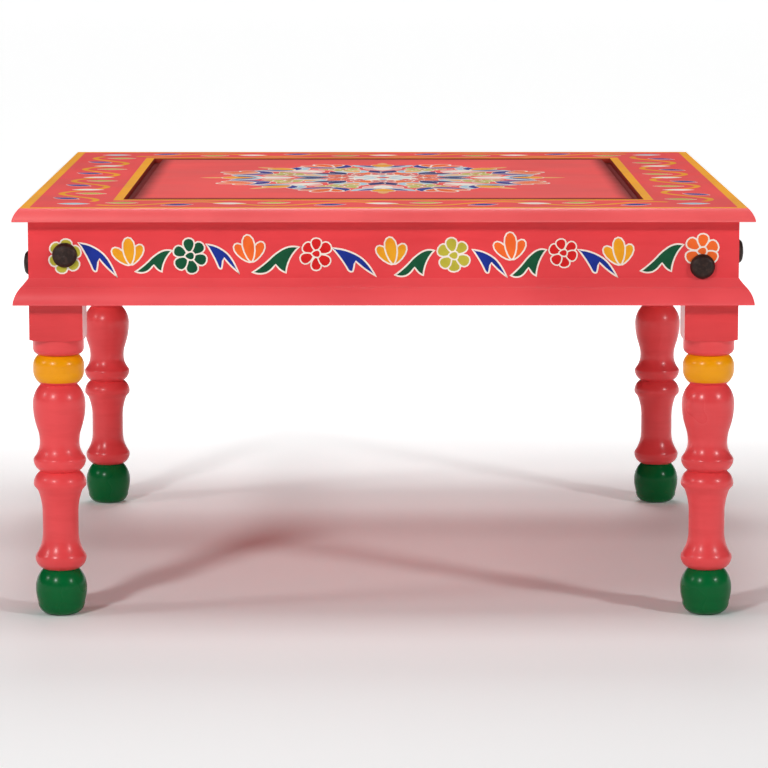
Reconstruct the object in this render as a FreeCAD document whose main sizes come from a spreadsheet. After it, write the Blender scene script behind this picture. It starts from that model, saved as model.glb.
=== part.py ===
"""Low square side table of painted wood: a framed top, bolted aprons and four turned legs.

Millimetres. The origin is on the floor under the middle of the top, +Z is up and the front faces -Y.
"""
import FreeCAD
import Part
import Sketcher
import math
import os

# Driving sizes, one sheet row each

SIZES = {
    # Whole table
    "table_width": 760.0,
    "table_depth": 760.0,
    "table_height": 428.6,
    "top_overhang": 15.3,
    "cut_overrun": 2.0,
    # Top frame
    "top_thickness": 14.0,
    "rail_width": 107.0,
    "edge_run": 7.4,
    "edge_nose": 1.5,
    "edge_radius": 25.0,
    "lip_thickness": 6.0,
    "lip_width": 10.0,
    # Loose tongues of the mitres
    "tongue_length": 60.0,
    "tongue_width": 30.0,
    "tongue_thickness": 4.0,
    "tongue_rise": 5.0,
    "tongue_clearance": 0.2,
    # Raised panel
    "field_drop": 0.5,
    "margin_width": 11.0,
    "panel_gap": 1.0,
    "panel_clearance": 0.2,
    # Battens under the panel
    "batten_width": 40.0,
    "batten_thickness": 18.0,
    "batten_place": 130.0,
    "batten_gap": 0.5,
    # Aprons
    "apron_thickness": 20.0,
    "apron_height": 85.6,
    # Base moulding
    "moulding_height": 27.0,
    "moulding_projection": 15.3,
    "moulding_rebate": 6.0,
    "cove_run": 7.2,
    "cove_drop": 9.3,
    "cove_radius": 60.0,
    "quirk": 0.5,
    "moulding_nose": 1.4,
    "bevel_radius": 30.0,
    # Cleats inside the apron
    "cleat_size": 18.0,
    "cleat_gap": 0.5,
    "cleat_screw_inset": 30.0,
    # Legs, from the block down
    "leg_block": 55.0,
    "block_height": 39.0,
    "block_shoulder": 1.5,
    "collar_diameter": 53.2,
    "throat_diameter": 41.0,
    "bun_diameter": 53.4,
    "vase_neck_diameter": 37.4,
    "vase_belly_diameter": 54.8,
    "vase_waist_diameter": 41.2,
    "upper_ring_lip_diameter": 53.0,
    "upper_ring_diameter": 54.8,
    "ring_neck_diameter": 40.0,
    "lower_ring_diameter": 55.0,
    "lower_ring_lip_diameter": 54.0,
    "column_head_diameter": 46.5,
    "column_diameter": 37.4,
    "bell_lip_diameter": 52.4,
    "bell_diameter": 53.4,
    "ankle_diameter": 36.6,
    "foot_diameter": 53.4,
    "foot_heel_diameter": 48.8,
    "foot_pad_diameter": 24.0,
    # Stud bolts
    "stud_drop": 35.1,
    "stud_stagger": 11.8,
    "stud_diameter": 25.6,
    "stud_rim": 1.2,
    "stud_shoulder_diameter": 18.0,
    "stud_shoulder_height": 6.8,
    "stud_height": 8.0,
    "bolt_diameter": 8.0,
    "bolt_clearance": 0.3,
    "bolt_end": 3.0,
    "washer_diameter": 20.0,
    "washer_thickness": 1.6,
    "nut_width": 13.0,
    "nut_height": 6.5,
    # Wood screws
    "screw_diameter": 4.0,
    "screw_bite": 8.0,
    "screw_point": 3.0,
    "screw_head_diameter": 8.0,
    "screw_head_height": 2.6,
    "screw_clearance": 0.2,
}

# Levels on a leg, as shares of its turned height from the floor to the block
LEVEL_SHARES = {
    "heel": 0.045,
    "foot_belly": 0.097,
    "ankle": 0.166,
    "bell_belly": 0.208,
    "bell_lip": 0.2165,
    "column_foot": 0.298,
    "column_shoulder": 0.369,
    "column_head": 0.4525,
    "lower_ring_lip": 0.468,
    "lower_ring_belly": 0.4755,
    "ring_neck": 0.5215,
    "upper_ring_belly": 0.565,
    "upper_ring_lip": 0.571,
    "vase_waist": 0.627,
    "vase_belly": 0.7658,
    "vase_neck": 0.837,
    "bun_low": 0.8873,
    "bun_high": 0.903,
    "throat": 0.9435,
    "collar": 0.968,
}

SIDES = {"front": 0.0, "right": 90.0, "back": 180.0, "left": 270.0}
CORNERS = {"front_left": 0.0, "front_right": 90.0, "back_right": 180.0, "back_left": 270.0}
HALF_SHARE = 0.5
SWELL_SHARE = 0.35
DIAGONAL_SHARE = math.sqrt(HALF_SHARE)
HEX_SIDES = 6

# Sheet and sizes


class Size:
    """A length that keeps both its number and the sheet formula that it comes from."""

    def __init__(self, value, text):
        self.value = value
        self.text = text

    def joined(self, sign, other, value):
        return Size(value, f"({self.text} {sign} {as_size(other).text})")

    def __add__(self, other):
        return self.joined("+", other, self.value + as_size(other).value)

    def __sub__(self, other):
        return self.joined("-", other, self.value - as_size(other).value)

    def __mul__(self, factor):
        return self.joined("*", factor, self.value * as_size(factor).value)

    def __truediv__(self, factor):
        return self.joined("/", factor, self.value / as_size(factor).value)

    def __neg__(self):
        return Size(-self.value, f"(0 - {self.text})")


def as_size(term):
    if isinstance(term, Size):
        return term
    return Size(float(term), repr(float(term)))


DOC = FreeCAD.newDocument("side_table")
SHEET = DOC.addObject("Spreadsheet::Sheet", "Sizes")
for row, (alias, number) in enumerate(SIZES.items(), start=1):
    SHEET.set(f"A{row}", alias)
    SHEET.set(f"B{row}", str(number))
    SHEET.setAlias(f"B{row}", alias)
DOC.recompute()


def size(alias):
    return Size(float(SHEET.get(alias)), f"Sizes.{alias}")


ZERO = as_size(0)
TOP = size("table_height")
UNDERSIDE = TOP - size("top_thickness")
APRON_BOTTOM = UNDERSIDE - size("apron_height")
BLOCK_BOTTOM = APRON_BOTTOM - size("block_height")
HALF_WIDTH = size("table_width") / 2
HALF_DEPTH = size("table_depth") / 2
POST = size("leg_block") - size("apron_thickness")
BOLT_INSET = size("apron_thickness") + POST / 2
STUD_HIGH = UNDERSIDE - size("stud_drop")
STUD_LOW = STUD_HIGH - size("stud_stagger")
CLEAT_INNER = size("apron_thickness") + size("cleat_size")
SCREW_HOLE = size("screw_diameter") + size("screw_clearance")
PILOT_DEPTH = size("screw_bite") + size("screw_clearance")


def side_halves(side):
    """Half length along a side and its distance from the middle, at the outer edge of the top."""
    if side in ("front", "back"):
        return HALF_WIDTH, HALF_DEPTH
    return HALF_DEPTH, HALF_WIDTH


# Sketch and feature helpers

LINE = "line"
UPRIGHT_START = "upright_start"
UPRIGHT_END = "upright_end"
LEVEL_START = "level_start"
LEVEL_END = "level_end"
STARTS = (UPRIGHT_START, LEVEL_START)
LEVELS = (LEVEL_START, LEVEL_END)


def new_body(label):
    body = DOC.addObject("PartDesign::Body", label)
    body.Label = label
    return body


def new_sketch(body, role, lift=ZERO):
    """A sketch on one of the body's own origin planes, raised by lift along its normal."""
    sketch = body.newObject("Sketcher::SketchObject", "Sketch")
    support = [plane for plane in body.Origin.OriginFeatures if plane.Role == role]
    sketch.AttachmentSupport = [(support[0], "")]
    sketch.MapMode = "FlatFace"
    sketch.setExpression("AttachmentOffset.Base.z", lift.text)
    return sketch


def bind(sketch, index, text):
    sketch.setExpression(f"Constraints[{index}]", text)


def pin_point(sketch, curve, vertex, spot):
    """Bind a point of a curve to its spot, measured from the sketch's origin."""
    for kind, coordinate in zip(("DistanceX", "DistanceY"), spot):
        if coordinate.value < 0:
            ends = (curve, vertex, -1, 1)
            distance = -coordinate
        else:
            ends = (-1, 1, curve, vertex)
            distance = coordinate
        index = sketch.addConstraint(Sketcher.Constraint(kind, *ends, distance.value))
        bind(sketch, index, distance.text)


def arc_centre(start, end, kind):
    """Middle of the arc between two points that leaves or meets one of them upright or level."""
    fixed, free = (start, end) if kind in STARTS else (end, start)
    across = free.x - fixed.x
    along = free.y - fixed.y
    square = across * across + along * along
    if kind in LEVELS:
        return FreeCAD.Vector(fixed.x, fixed.y + square / (2 * along), 0)
    return FreeCAD.Vector(fixed.x + square / (2 * across), fixed.y, 0)


def radius_centre(start, end, radius):
    """Middle of the arc of a radius between two points; a negative radius bulges to the left."""
    chord = end - start
    left = FreeCAD.Vector(-chord.y, chord.x, 0).normalize()
    reach = math.sqrt(radius * radius - chord.Length * chord.Length / 4)
    return (start + end) / 2 + left * math.copysign(reach, radius)


def add_arc(sketch, start, end, centre):
    """Add an arc and say which of its two ends is the start of the run."""
    circle = Part.Circle(centre, FreeCAD.Vector(0, 0, 1), (start - centre).Length)
    turn = (start - centre).cross(end - centre).z
    first, last = (start, end) if turn > 0 else (end, start)
    arc = Part.ArcOfCircle(circle, circle.parameter(first), circle.parameter(last))
    curve = sketch.addGeometry(arc, False)
    return (curve, 1, 2) if turn > 0 else (curve, 2, 1)


def add_run(sketch, start, end, kind):
    """Draw one run of an outline: a line, an arc by its tangent, or an arc by its radius."""
    if kind == LINE:
        return (sketch.addGeometry(Part.LineSegment(start, end), False), 1, 2)
    if isinstance(kind, Size):
        run = add_arc(sketch, start, end, radius_centre(start, end, kind.value))
        radius = kind if kind.value > 0 else -kind
        bind(sketch, sketch.addConstraint(Sketcher.Constraint("Radius", run[0], radius.value)), radius.text)
        return run
    run = add_arc(sketch, start, end, arc_centre(start, end, kind))
    held = run[1] if kind in STARTS else run[2]
    direction = "Vertical" if kind in LEVELS else "Horizontal"
    sketch.addConstraint(Sketcher.Constraint(direction, run[0], held, run[0], 3))
    return run


def draw_outline(sketch, corners):
    """Draw a closed outline; each corner is (x, y, run to the next corner)."""
    points = [FreeCAD.Vector(x.value, y.value, 0) for x, y, _ in corners]
    runs = []
    for index, (_, _, kind) in enumerate(corners):
        end = points[(index + 1) % len(points)]
        runs.append(add_run(sketch, points[index], end, kind))
    for index, (x, y, _) in enumerate(corners):
        curve, start, _ = runs[index]
        previous, _, finish = runs[index - 1]
        sketch.addConstraint(Sketcher.Constraint("Coincident", previous, finish, curve, start))
        pin_point(sketch, curve, start, (x, y))


def draw_polygon(sketch, places):
    draw_outline(sketch, [(x, y, LINE) for x, y in places])


def draw_rectangle(sketch, low, high):
    draw_polygon(sketch, [low, (high[0], low[1]), high, (low[0], high[1])])


def draw_circle(sketch, spot, diameter):
    centre = FreeCAD.Vector(spot[0].value, spot[1].value, 0)
    circle = Part.Circle(centre, FreeCAD.Vector(0, 0, 1), diameter.value / 2)
    curve = sketch.addGeometry(circle, False)
    pin_point(sketch, curve, 3, spot)
    index = sketch.addConstraint(Sketcher.Constraint("Diameter", curve, diameter.value))
    bind(sketch, index, diameter.text)


def mirrored(places):
    return [(-x, y) for x, y in places]


def pad(body, sketch, length, both_ways=False):
    feature = body.newObject("PartDesign::Pad", "Pad")
    feature.Profile = sketch
    feature.SideType = "Symmetric" if both_ways else "One side"
    feature.setExpression("Length", length.text)
    return feature


def cut(body, sketch, length=None):
    """Cut down from a sketch by length, or right through both ways without one."""
    feature = body.newObject("PartDesign::Pocket", "Pocket")
    feature.Profile = sketch
    if length is None:
        feature.SideType = "Symmetric"
        feature.Type = "ThroughAll"
    else:
        feature.setExpression("Length", length.text)
    return feature


def revolve(body, sketch):
    feature = body.newObject("PartDesign::Revolution", "Revolution")
    feature.Profile = sketch
    feature.ReferenceAxis = (sketch, ["V_Axis"])
    return feature


def turn_away(body, sketch):
    """Cut what a sketch sweeps round the upright axis."""
    feature = body.newObject("PartDesign::Groove", "Groove")
    feature.Profile = sketch
    feature.ReferenceAxis = (sketch, ["V_Axis"])
    return feature


def place(piece, position, rotation):
    """Turn a piece and bind its position to the sheet."""
    piece.Placement = FreeCAD.Placement(FreeCAD.Vector(*[part.value for part in position]), rotation)
    for axis, part in zip("xyz", position):
        piece.setExpression(f"Placement.Base.{axis}", part.text)


def upright_turn(angle):
    return FreeCAD.Rotation(FreeCAD.Vector(0, 0, 1), angle)


def turned_place(position, angle):
    """A place of the front side carried round to another side by quarter turns."""
    x, y, z = position
    quarter = int(angle // 90)
    return [(x, y, z), (-y, x, z), (-x, -y, z), (y, -x, z)][quarter]


def cut_mitres(body, span, reach, width):
    """Cut both ends of a side piece at 45 degrees from its outer corners inwards."""
    sketch = new_sketch(body, "XY_Plane")
    leg = width + size("cut_overrun")
    corner = (span, -reach)
    triangle = [corner, (span, leg - reach), (span - leg, leg - reach)]
    draw_polygon(sketch, triangle)
    draw_polygon(sketch, mirrored(triangle))
    return cut(body, sketch)


def bore_up(body, places, diameter, depth, bottom):
    """Bore round holes upwards from a level."""
    sketch = new_sketch(body, "XY_Plane", bottom + depth)
    for spot in places:
        draw_circle(sketch, spot, diameter)
    return cut(body, sketch, depth)


# Places that several pieces share


def apron_reach(side):
    span, reach = side_halves(side)
    return span - size("top_overhang"), reach - size("top_overhang")


def cleat_half(side):
    return apron_reach(side)[0] - size("apron_thickness") - POST - size("cleat_gap")


def cleat_screw_places(side):
    """Middles of the upright screws of one cleat, on the front side."""
    end = cleat_half(side) - size("cleat_screw_inset")
    inner = size("apron_thickness") + size("cleat_size") / 2 - apron_reach(side)[1]
    return [(-end, inner), (ZERO, inner), (end, inner)]


def apron_screw_places(side):
    """Middles (x, z) of the level screws of one cleat, on the front side."""
    middle = UNDERSIDE - size("cleat_size") / 2
    batten_edge = size("batten_place") + size("batten_width") / 2
    across = (batten_edge + cleat_half(side)) / 2
    return [(-across, middle), (across, middle)]


def batten_screw_places(side):
    """Middles of the screws that hold the battens to the front or back rail."""
    reach = side_halves(side)[1]
    rebate = reach - size("rail_width") + size("lip_width")
    cleat = apron_reach(side)[1] - CLEAT_INNER
    middle = (rebate + cleat) / -2
    return [(-size("batten_place"), middle), (size("batten_place"), middle)]


def tongue_centre(span, reach):
    """Middle of a loose tongue, on the mitre of the right-hand corner of the front side."""
    inset = (size("rail_width") - size("lip_width")) / 2
    return span - inset, inset - reach


# Top


def tongue_slot(span, reach):
    """Outline of the slot for the loose tongue of the right-hand corner."""
    x, y = tongue_centre(span, reach)
    along = (size("tongue_length") / 2 + size("tongue_clearance")) * DIAGONAL_SHARE
    across = (size("tongue_width") / 2 + size("tongue_clearance")) * DIAGONAL_SHARE
    return [
        (x + along + across, y - along + across),
        (x - along + across, y + along + across),
        (x - along - across, y + along - across),
        (x + along - across, y - along - across),
    ]


def build_top_rail(side, angle):
    span, reach = side_halves(side)
    opening = reach - size("rail_width")
    rebate = opening + size("lip_width")
    lip_bottom = TOP - size("lip_thickness")
    body = new_body(f"top_rail_{side}")
    section = new_sketch(body, "YZ_Plane")
    draw_outline(section, [
        (-reach, UNDERSIDE, LINE),
        (-reach, UNDERSIDE + size("edge_nose"), -size("edge_radius")),
        (size("edge_run") - reach, TOP, LINE),
        (-opening, TOP, LINE),
        (-opening, lip_bottom, LINE),
        (-rebate, lip_bottom, LINE),
        (-rebate, UNDERSIDE, LINE),
    ])
    pad(body, section, span * 2, both_ways=True)
    cut_mitres(body, span, reach, size("rail_width"))
    slots = new_sketch(body, "XY_Plane", UNDERSIDE + size("tongue_rise") + size("tongue_thickness"))
    draw_polygon(slots, tongue_slot(span, reach))
    draw_polygon(slots, mirrored(tongue_slot(span, reach)))
    cut(body, slots, size("tongue_thickness"))
    bores = cleat_screw_places(side)
    if side in ("front", "back"):
        bores = bores + batten_screw_places(side)
    bore_up(body, bores, SCREW_HOLE, PILOT_DEPTH, UNDERSIDE)
    place(body, (ZERO, ZERO, ZERO), upright_turn(angle))
    return body


def build_mitre_tongues():
    tongues = []
    for corner, angle in CORNERS.items():
        tongue = DOC.addObject("Part::Box", f"tongue_{corner}")
        tongue.setExpression("Length", size("tongue_length").text)
        tongue.setExpression("Width", size("tongue_width").text)
        tongue.setExpression("Height", size("tongue_thickness").text)
        inset = (size("rail_width") - size("lip_width")) / 2
        along = size("tongue_length") / 2 * DIAGONAL_SHARE
        across = size("tongue_width") / 2 * DIAGONAL_SHARE
        side_x = inset - HALF_WIDTH if corner.endswith("left") else HALF_WIDTH - inset
        side_y = inset - HALF_DEPTH if corner.startswith("front") else HALF_DEPTH - inset
        shift_x, shift_y, _ = turned_place((across - along, -along - across, ZERO), angle)
        rise = UNDERSIDE + size("tongue_rise")
        place(tongue, (side_x + shift_x, side_y + shift_y, rise), upright_turn(45 + angle))
        tongues.append(tongue)
    return gather("mitre_tongues", tongues)


def margin_outline(half):
    """Outline of what is cut away over the sunk margin on one side of the panel."""
    opening = half - size("rail_width")
    field = TOP - size("field_drop")
    edge = TOP - size("lip_thickness") - size("panel_clearance")
    over = size("cut_overrun")
    outer = opening + size("lip_width") + over
    inner = opening - size("margin_width")
    return [
        (inner, field, LEVEL_END),
        (opening, edge, LINE),
        (outer, edge, LINE),
        (outer, field + over, LINE),
        (inner, field + over, LINE),
    ]


def build_top_panel():
    body = new_body("top_panel")
    inset = size("rail_width") - size("lip_width") + size("panel_gap")
    plan = new_sketch(body, "XY_Plane", UNDERSIDE)
    half = (HALF_WIDTH - inset, HALF_DEPTH - inset)
    draw_rectangle(plan, (-half[0], -half[1]), half)
    pad(body, plan, size("top_thickness") - size("field_drop"))
    for role, reach in (("XZ_Plane", HALF_WIDTH), ("YZ_Plane", HALF_DEPTH)):
        margins = new_sketch(body, role)
        outline = margin_outline(reach)
        draw_outline(margins, outline)
        draw_outline(margins, [(-x, y, kind) for x, y, kind in outline])
        cut(body, margins)
    return body


def build_panel_batten(name, sign):
    """A batten from front to back under the panel, held by a screw at each end."""
    body = new_body(f"panel_batten_{name}")
    plan = new_sketch(body, "XY_Plane", UNDERSIDE - size("batten_thickness"))
    half_length = apron_reach("front")[1] - CLEAT_INNER - size("batten_gap")
    half_width = size("batten_width") / 2
    draw_rectangle(plan, (-half_width, -half_length), (half_width, half_length))
    pad(body, plan, size("batten_thickness"))
    bores = new_sketch(body, "XY_Plane")
    screw = batten_screw_places("front")[0][1]
    draw_circle(bores, (ZERO, screw), SCREW_HOLE)
    draw_circle(bores, (ZERO, -screw), SCREW_HOLE)
    cut(body, bores)
    place(body, (size("batten_place") * sign, ZERO, ZERO), upright_turn(0))
    return body


# Apron


def stud_places(side):
    """Middles (x, z) of the two bolts of one side: the left one high, the right one low."""
    along = apron_reach(side)[0] - BOLT_INSET
    return [(-along, STUD_HIGH), (along, STUD_LOW)]


def build_apron(side, angle):
    span, reach = apron_reach(side)
    rebate_top = APRON_BOTTOM + size("moulding_height")
    rebate_back = size("moulding_rebate") - reach
    inner = size("apron_thickness") - reach
    body = new_body(f"apron_{side}")
    section = new_sketch(body, "YZ_Plane")
    draw_polygon(section, [
        (-reach, UNDERSIDE),
        (-reach, rebate_top),
        (rebate_back, rebate_top),
        (rebate_back, APRON_BOTTOM),
        (inner, APRON_BOTTOM),
        (inner, UNDERSIDE),
    ])
    pad(body, section, span * 2, both_ways=True)
    cut_mitres(body, span, reach, size("apron_thickness"))
    bolts = new_sketch(body, "XZ_Plane")
    for spot in stud_places(side):
        draw_circle(bolts, spot, size("bolt_diameter") + size("bolt_clearance"))
    cut(body, bolts)
    pilots = new_sketch(body, "XZ_Plane", PILOT_DEPTH - inner)
    for spot in apron_screw_places(side):
        draw_circle(pilots, spot, SCREW_HOLE)
    cut(body, pilots, PILOT_DEPTH)
    place(body, (ZERO, ZERO, ZERO), upright_turn(angle))
    return body


def build_base_moulding(side, angle):
    span, reach = apron_reach(side)
    projection = size("moulding_projection")
    back = size("moulding_rebate") - reach
    top = APRON_BOTTOM + size("moulding_height")
    cove_foot = top - size("cove_drop")
    cove_edge = -reach - size("cove_run")
    body = new_body(f"base_moulding_{side}")
    section = new_sketch(body, "YZ_Plane")
    draw_outline(section, [
        (back, top, LINE),
        (-reach, top, -size("cove_radius")),
        (cove_edge, cove_foot, LINE),
        (cove_edge - size("quirk"), cove_foot, size("bevel_radius")),
        (-reach - projection, APRON_BOTTOM + size("moulding_nose"), LINE),
        (-reach - projection, APRON_BOTTOM, LINE),
        (back, APRON_BOTTOM, LINE),
    ])
    pad(body, section, (span + projection) * 2, both_ways=True)
    cut_mitres(body, span + projection, reach + projection, projection + size("moulding_rebate"))
    place(body, (ZERO, ZERO, ZERO), upright_turn(angle))
    return body


def build_top_cleat(side, angle):
    reach = apron_reach(side)[1]
    half = cleat_half(side)
    outer = size("apron_thickness") - reach
    body = new_body(f"top_cleat_{side}")
    plan = new_sketch(body, "XY_Plane", UNDERSIDE - size("cleat_size"))
    draw_rectangle(plan, (-half, outer), (half, outer + size("cleat_size")))
    pad(body, plan, size("cleat_size"))
    upright = new_sketch(body, "XY_Plane")
    for spot in cleat_screw_places(side):
        draw_circle(upright, spot, SCREW_HOLE)
    cut(body, upright)
    crossways = new_sketch(body, "XZ_Plane")
    for spot in apron_screw_places(side):
        draw_circle(crossways, spot, SCREW_HOLE)
    cut(body, crossways)
    place(body, (ZERO, ZERO, ZERO), upright_turn(angle))
    return body


# Legs


def level(name):
    return BLOCK_BOTTOM * LEVEL_SHARES[name]


def radius(name):
    return size(f"{name}_diameter") / 2


def leg_outline():
    """Half outline of the turned part of a leg, from the pad on the floor up to the block."""
    swell = radius("vase_waist") + (radius("vase_belly") - radius("vase_waist")) * SWELL_SHARE
    swell_level = level("vase_waist") + (level("vase_belly") - level("vase_waist")) * SWELL_SHARE
    return [
        (ZERO, ZERO, LINE),
        (radius("foot_pad"), ZERO, LEVEL_START),
        (radius("foot_heel"), level("heel"), UPRIGHT_END),
        (radius("foot"), level("foot_belly"), UPRIGHT_START),
        (radius("ankle"), level("ankle"), UPRIGHT_END),
        (radius("bell"), level("bell_belly"), LINE),
        (radius("bell_lip"), level("bell_lip"), UPRIGHT_END),
        (radius("column"), level("column_foot"), LINE),
        (radius("column"), level("column_shoulder"), UPRIGHT_START),
        (radius("column_head"), level("column_head"), LINE),
        (radius("lower_ring_lip"), level("lower_ring_lip"), LINE),
        (radius("lower_ring"), level("lower_ring_belly"), UPRIGHT_START),
        (radius("ring_neck"), level("ring_neck"), UPRIGHT_END),
        (radius("upper_ring"), level("upper_ring_belly"), LINE),
        (radius("upper_ring_lip"), level("upper_ring_lip"), UPRIGHT_END),
        (radius("vase_waist"), level("vase_waist"), UPRIGHT_START),
        (swell, swell_level, UPRIGHT_END),
        (radius("vase_belly"), level("vase_belly"), UPRIGHT_START),
        (radius("vase_neck"), level("vase_neck"), UPRIGHT_END),
        (radius("bun"), level("bun_low"), LINE),
        (radius("bun"), level("bun_high"), UPRIGHT_START),
        (radius("throat"), level("throat"), UPRIGHT_END),
        (radius("collar"), level("collar"), LINE),
        (radius("collar"), BLOCK_BOTTOM, LINE),
        (ZERO, BLOCK_BOTTOM, LINE),
    ]


def build_leg(corner, angle):
    body = new_body(f"leg_{corner}")
    turning = new_sketch(body, "XZ_Plane")
    draw_outline(turning, leg_outline())
    revolve(body, turning)
    half = size("leg_block") / 2
    block = new_sketch(body, "XY_Plane", BLOCK_BOTTOM)
    draw_rectangle(block, (-half, -half), (half, half))
    pad(body, block, size("block_height"))
    corner_reach = half * math.sqrt(2) + size("cut_overrun")
    shoulder = new_sketch(body, "XZ_Plane")
    draw_outline(shoulder, [
        (half, BLOCK_BOTTOM, LEVEL_START),
        (corner_reach, BLOCK_BOTTOM + size("block_shoulder"), LINE),
        (corner_reach, BLOCK_BOTTOM, LINE),
    ])
    turn_away(body, shoulder)
    post = new_sketch(body, "XY_Plane", APRON_BOTTOM)
    draw_rectangle(post, (half - POST, half - POST), (half, half))
    pad(body, post, size("apron_height"))
    bolt_bore = size("bolt_diameter") + size("bolt_clearance")
    for role, height in (("XZ_Plane", STUD_HIGH), ("YZ_Plane", STUD_LOW)):
        bore = new_sketch(body, role)
        draw_circle(bore, (half - POST / 2, height), bolt_bore)
        cut(body, bore)
    inset = size("top_overhang") + half
    x = inset - HALF_WIDTH if corner.endswith("left") else HALF_WIDTH - inset
    y = inset - HALF_DEPTH if corner.startswith("front") else HALF_DEPTH - inset
    place(body, (x, y, ZERO), upright_turn(angle))
    return body


# Bolts, nuts, washers and screws


def gather(label, pieces):
    """One node that holds a group of separate solids."""
    group = DOC.addObject("Part::Compound", label)
    group.Label = label
    group.Links = pieces
    return group


def repeat(label, pattern, spots):
    """Links to one pattern piece at each (position, rotation), gathered in one node."""
    links = []
    for position, rotation in spots:
        link = DOC.addObject("App::Link", f"{label}_link")
        link.LinkedObject = pattern
        place(link, position, rotation)
        links.append(link)
    return gather(label, links)


def outward_spots(inward, middles):
    """Places whose +Z points out of each side, at a distance in from the apron's outer face."""
    spots = []
    out = FreeCAD.Rotation(FreeCAD.Vector(1, 0, 0), 90)
    for side, angle in SIDES.items():
        reach = apron_reach(side)[1]
        for x, z in middles(side):
            position = turned_place((x, inward - reach, z), angle)
            spots.append((position, upright_turn(angle).multiply(out)))
    return spots


def build_stud_pattern():
    """A stud bolt along Z: the forged head above its seat at zero, the shank below."""
    shank = size("bolt_diameter") / 2
    length = size("leg_block") + size("washer_thickness") + size("nut_height") + size("bolt_end")
    rim = size("stud_diameter") / 2
    body = new_body("stud_pattern")
    sketch = new_sketch(body, "XZ_Plane")
    draw_outline(sketch, [
        (ZERO, -length, LINE),
        (shank, -length, LINE),
        (shank, ZERO, LINE),
        (rim, ZERO, LINE),
        (rim, size("stud_rim"), UPRIGHT_START),
        (size("stud_shoulder_diameter") / 2, size("stud_shoulder_height"), LEVEL_END),
        (ZERO, size("stud_height"), LINE),
    ])
    revolve(body, sketch)
    return body


def build_washer_pattern():
    body = new_body("washer_pattern")
    ring = new_sketch(body, "XY_Plane")
    draw_circle(ring, (ZERO, ZERO), size("washer_diameter"))
    draw_circle(ring, (ZERO, ZERO), size("bolt_diameter") + size("bolt_clearance"))
    pad(body, ring, size("washer_thickness"))
    return body


def build_nut_pattern():
    body = new_body("nut_pattern")
    plan = new_sketch(body, "XY_Plane")
    corner = size("nut_width") / math.sqrt(3)
    turns = [2 * math.pi * step / HEX_SIDES for step in range(HEX_SIDES)]
    draw_polygon(plan, [(corner * math.cos(turn), corner * math.sin(turn)) for turn in turns])
    draw_circle(plan, (ZERO, ZERO), size("bolt_diameter") + size("screw_clearance"))
    pad(body, plan, size("nut_height"))
    return body


def build_screw_pattern(name, through):
    """A wood screw along Z: its head below its seat at zero, its point above."""
    shank = size("screw_diameter") / 2
    tip = through + size("screw_bite")
    body = new_body(name)
    sketch = new_sketch(body, "XZ_Plane")
    head = size("screw_head_diameter") / 2
    draw_polygon(sketch, [
        (ZERO, -size("screw_head_height")),
        (head, -size("screw_head_height")),
        (head, ZERO),
        (shank, ZERO),
        (shank, tip - size("screw_point")),
        (ZERO, tip),
    ])
    revolve(body, sketch)
    return body


def build_cleat_screws():
    pattern = build_screw_pattern("cleat_screw_pattern", size("cleat_size"))
    seat = UNDERSIDE - size("cleat_size")
    upright = []
    for side, angle in SIDES.items():
        for x, y in cleat_screw_places(side):
            upright.append((turned_place((x, y, seat), angle), upright_turn(angle)))
    outward = outward_spots(CLEAT_INNER, apron_screw_places)
    return [repeat("cleat_screws", pattern, upright), repeat("apron_screws", pattern, outward)]


def build_batten_screws():
    pattern = build_screw_pattern("batten_screw_pattern", size("batten_thickness"))
    seat = UNDERSIDE - size("batten_thickness")
    spots = []
    for side in ("front", "back"):
        for x, y in batten_screw_places(side):
            spots.append((turned_place((x, y, seat), SIDES[side]), upright_turn(SIDES[side])))
    return repeat("batten_screws", pattern, spots)


def build_bolts():
    washer_seat = size("leg_block")
    nut_seat = washer_seat + size("washer_thickness")
    return [
        repeat("stud_bolts", build_stud_pattern(), outward_spots(ZERO, stud_places)),
        repeat("bolt_washers", build_washer_pattern(), outward_spots(nut_seat, stud_places)),
        repeat("bolt_nuts", build_nut_pattern(), outward_spots(nut_seat + size("nut_height"), stud_places)),
    ]


# Whole table


def build_table():
    nodes = []
    for side, angle in SIDES.items():
        nodes.append(build_top_rail(side, angle))
        nodes.append(build_apron(side, angle))
        nodes.append(build_base_moulding(side, angle))
        nodes.append(build_top_cleat(side, angle))
    for corner, angle in CORNERS.items():
        nodes.append(build_leg(corner, angle))
    nodes.append(build_top_panel())
    nodes.append(build_mitre_tongues())
    nodes.append(build_panel_batten("left", -1))
    nodes.append(build_panel_batten("right", 1))
    nodes.extend(build_bolts())
    nodes.extend(build_cleat_screws())
    nodes.append(build_batten_screws())
    return nodes


def check_document():
    faults = [item.Label for item in DOC.Objects if {"Invalid", "Error"} & set(item.State)]
    if faults:
        raise RuntimeError(f"objects that did not compute: {faults}")


def export_nodes(nodes):
    os.makedirs("parts", exist_ok=True)
    for node in nodes:
        if node.Shape.isNull() or not node.Shape.isValid():
            raise RuntimeError(f"no sound shape: {node.Label}")
        node.Shape.exportStep(f"parts/{node.Label}.step")
        print(node.Label, len(node.Shape.Solids), round(node.Shape.Volume, 1))


NODES = build_table()
DOC.recompute()
check_document()
export_nodes(NODES)
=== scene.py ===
"""Looks of a hand-painted side table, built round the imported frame.

Every mesh is drawn in millimetres in the frame's own axes and scaled to metres once, when it goes on show.
"""

import logging
import math
import random
from collections.abc import Callable, Iterable, Iterator, Sequence
from dataclasses import dataclass
from enum import Enum, IntEnum
from functools import cache
from typing import NamedTuple

import bmesh
import bpy
from mathutils import Matrix, Vector


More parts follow.
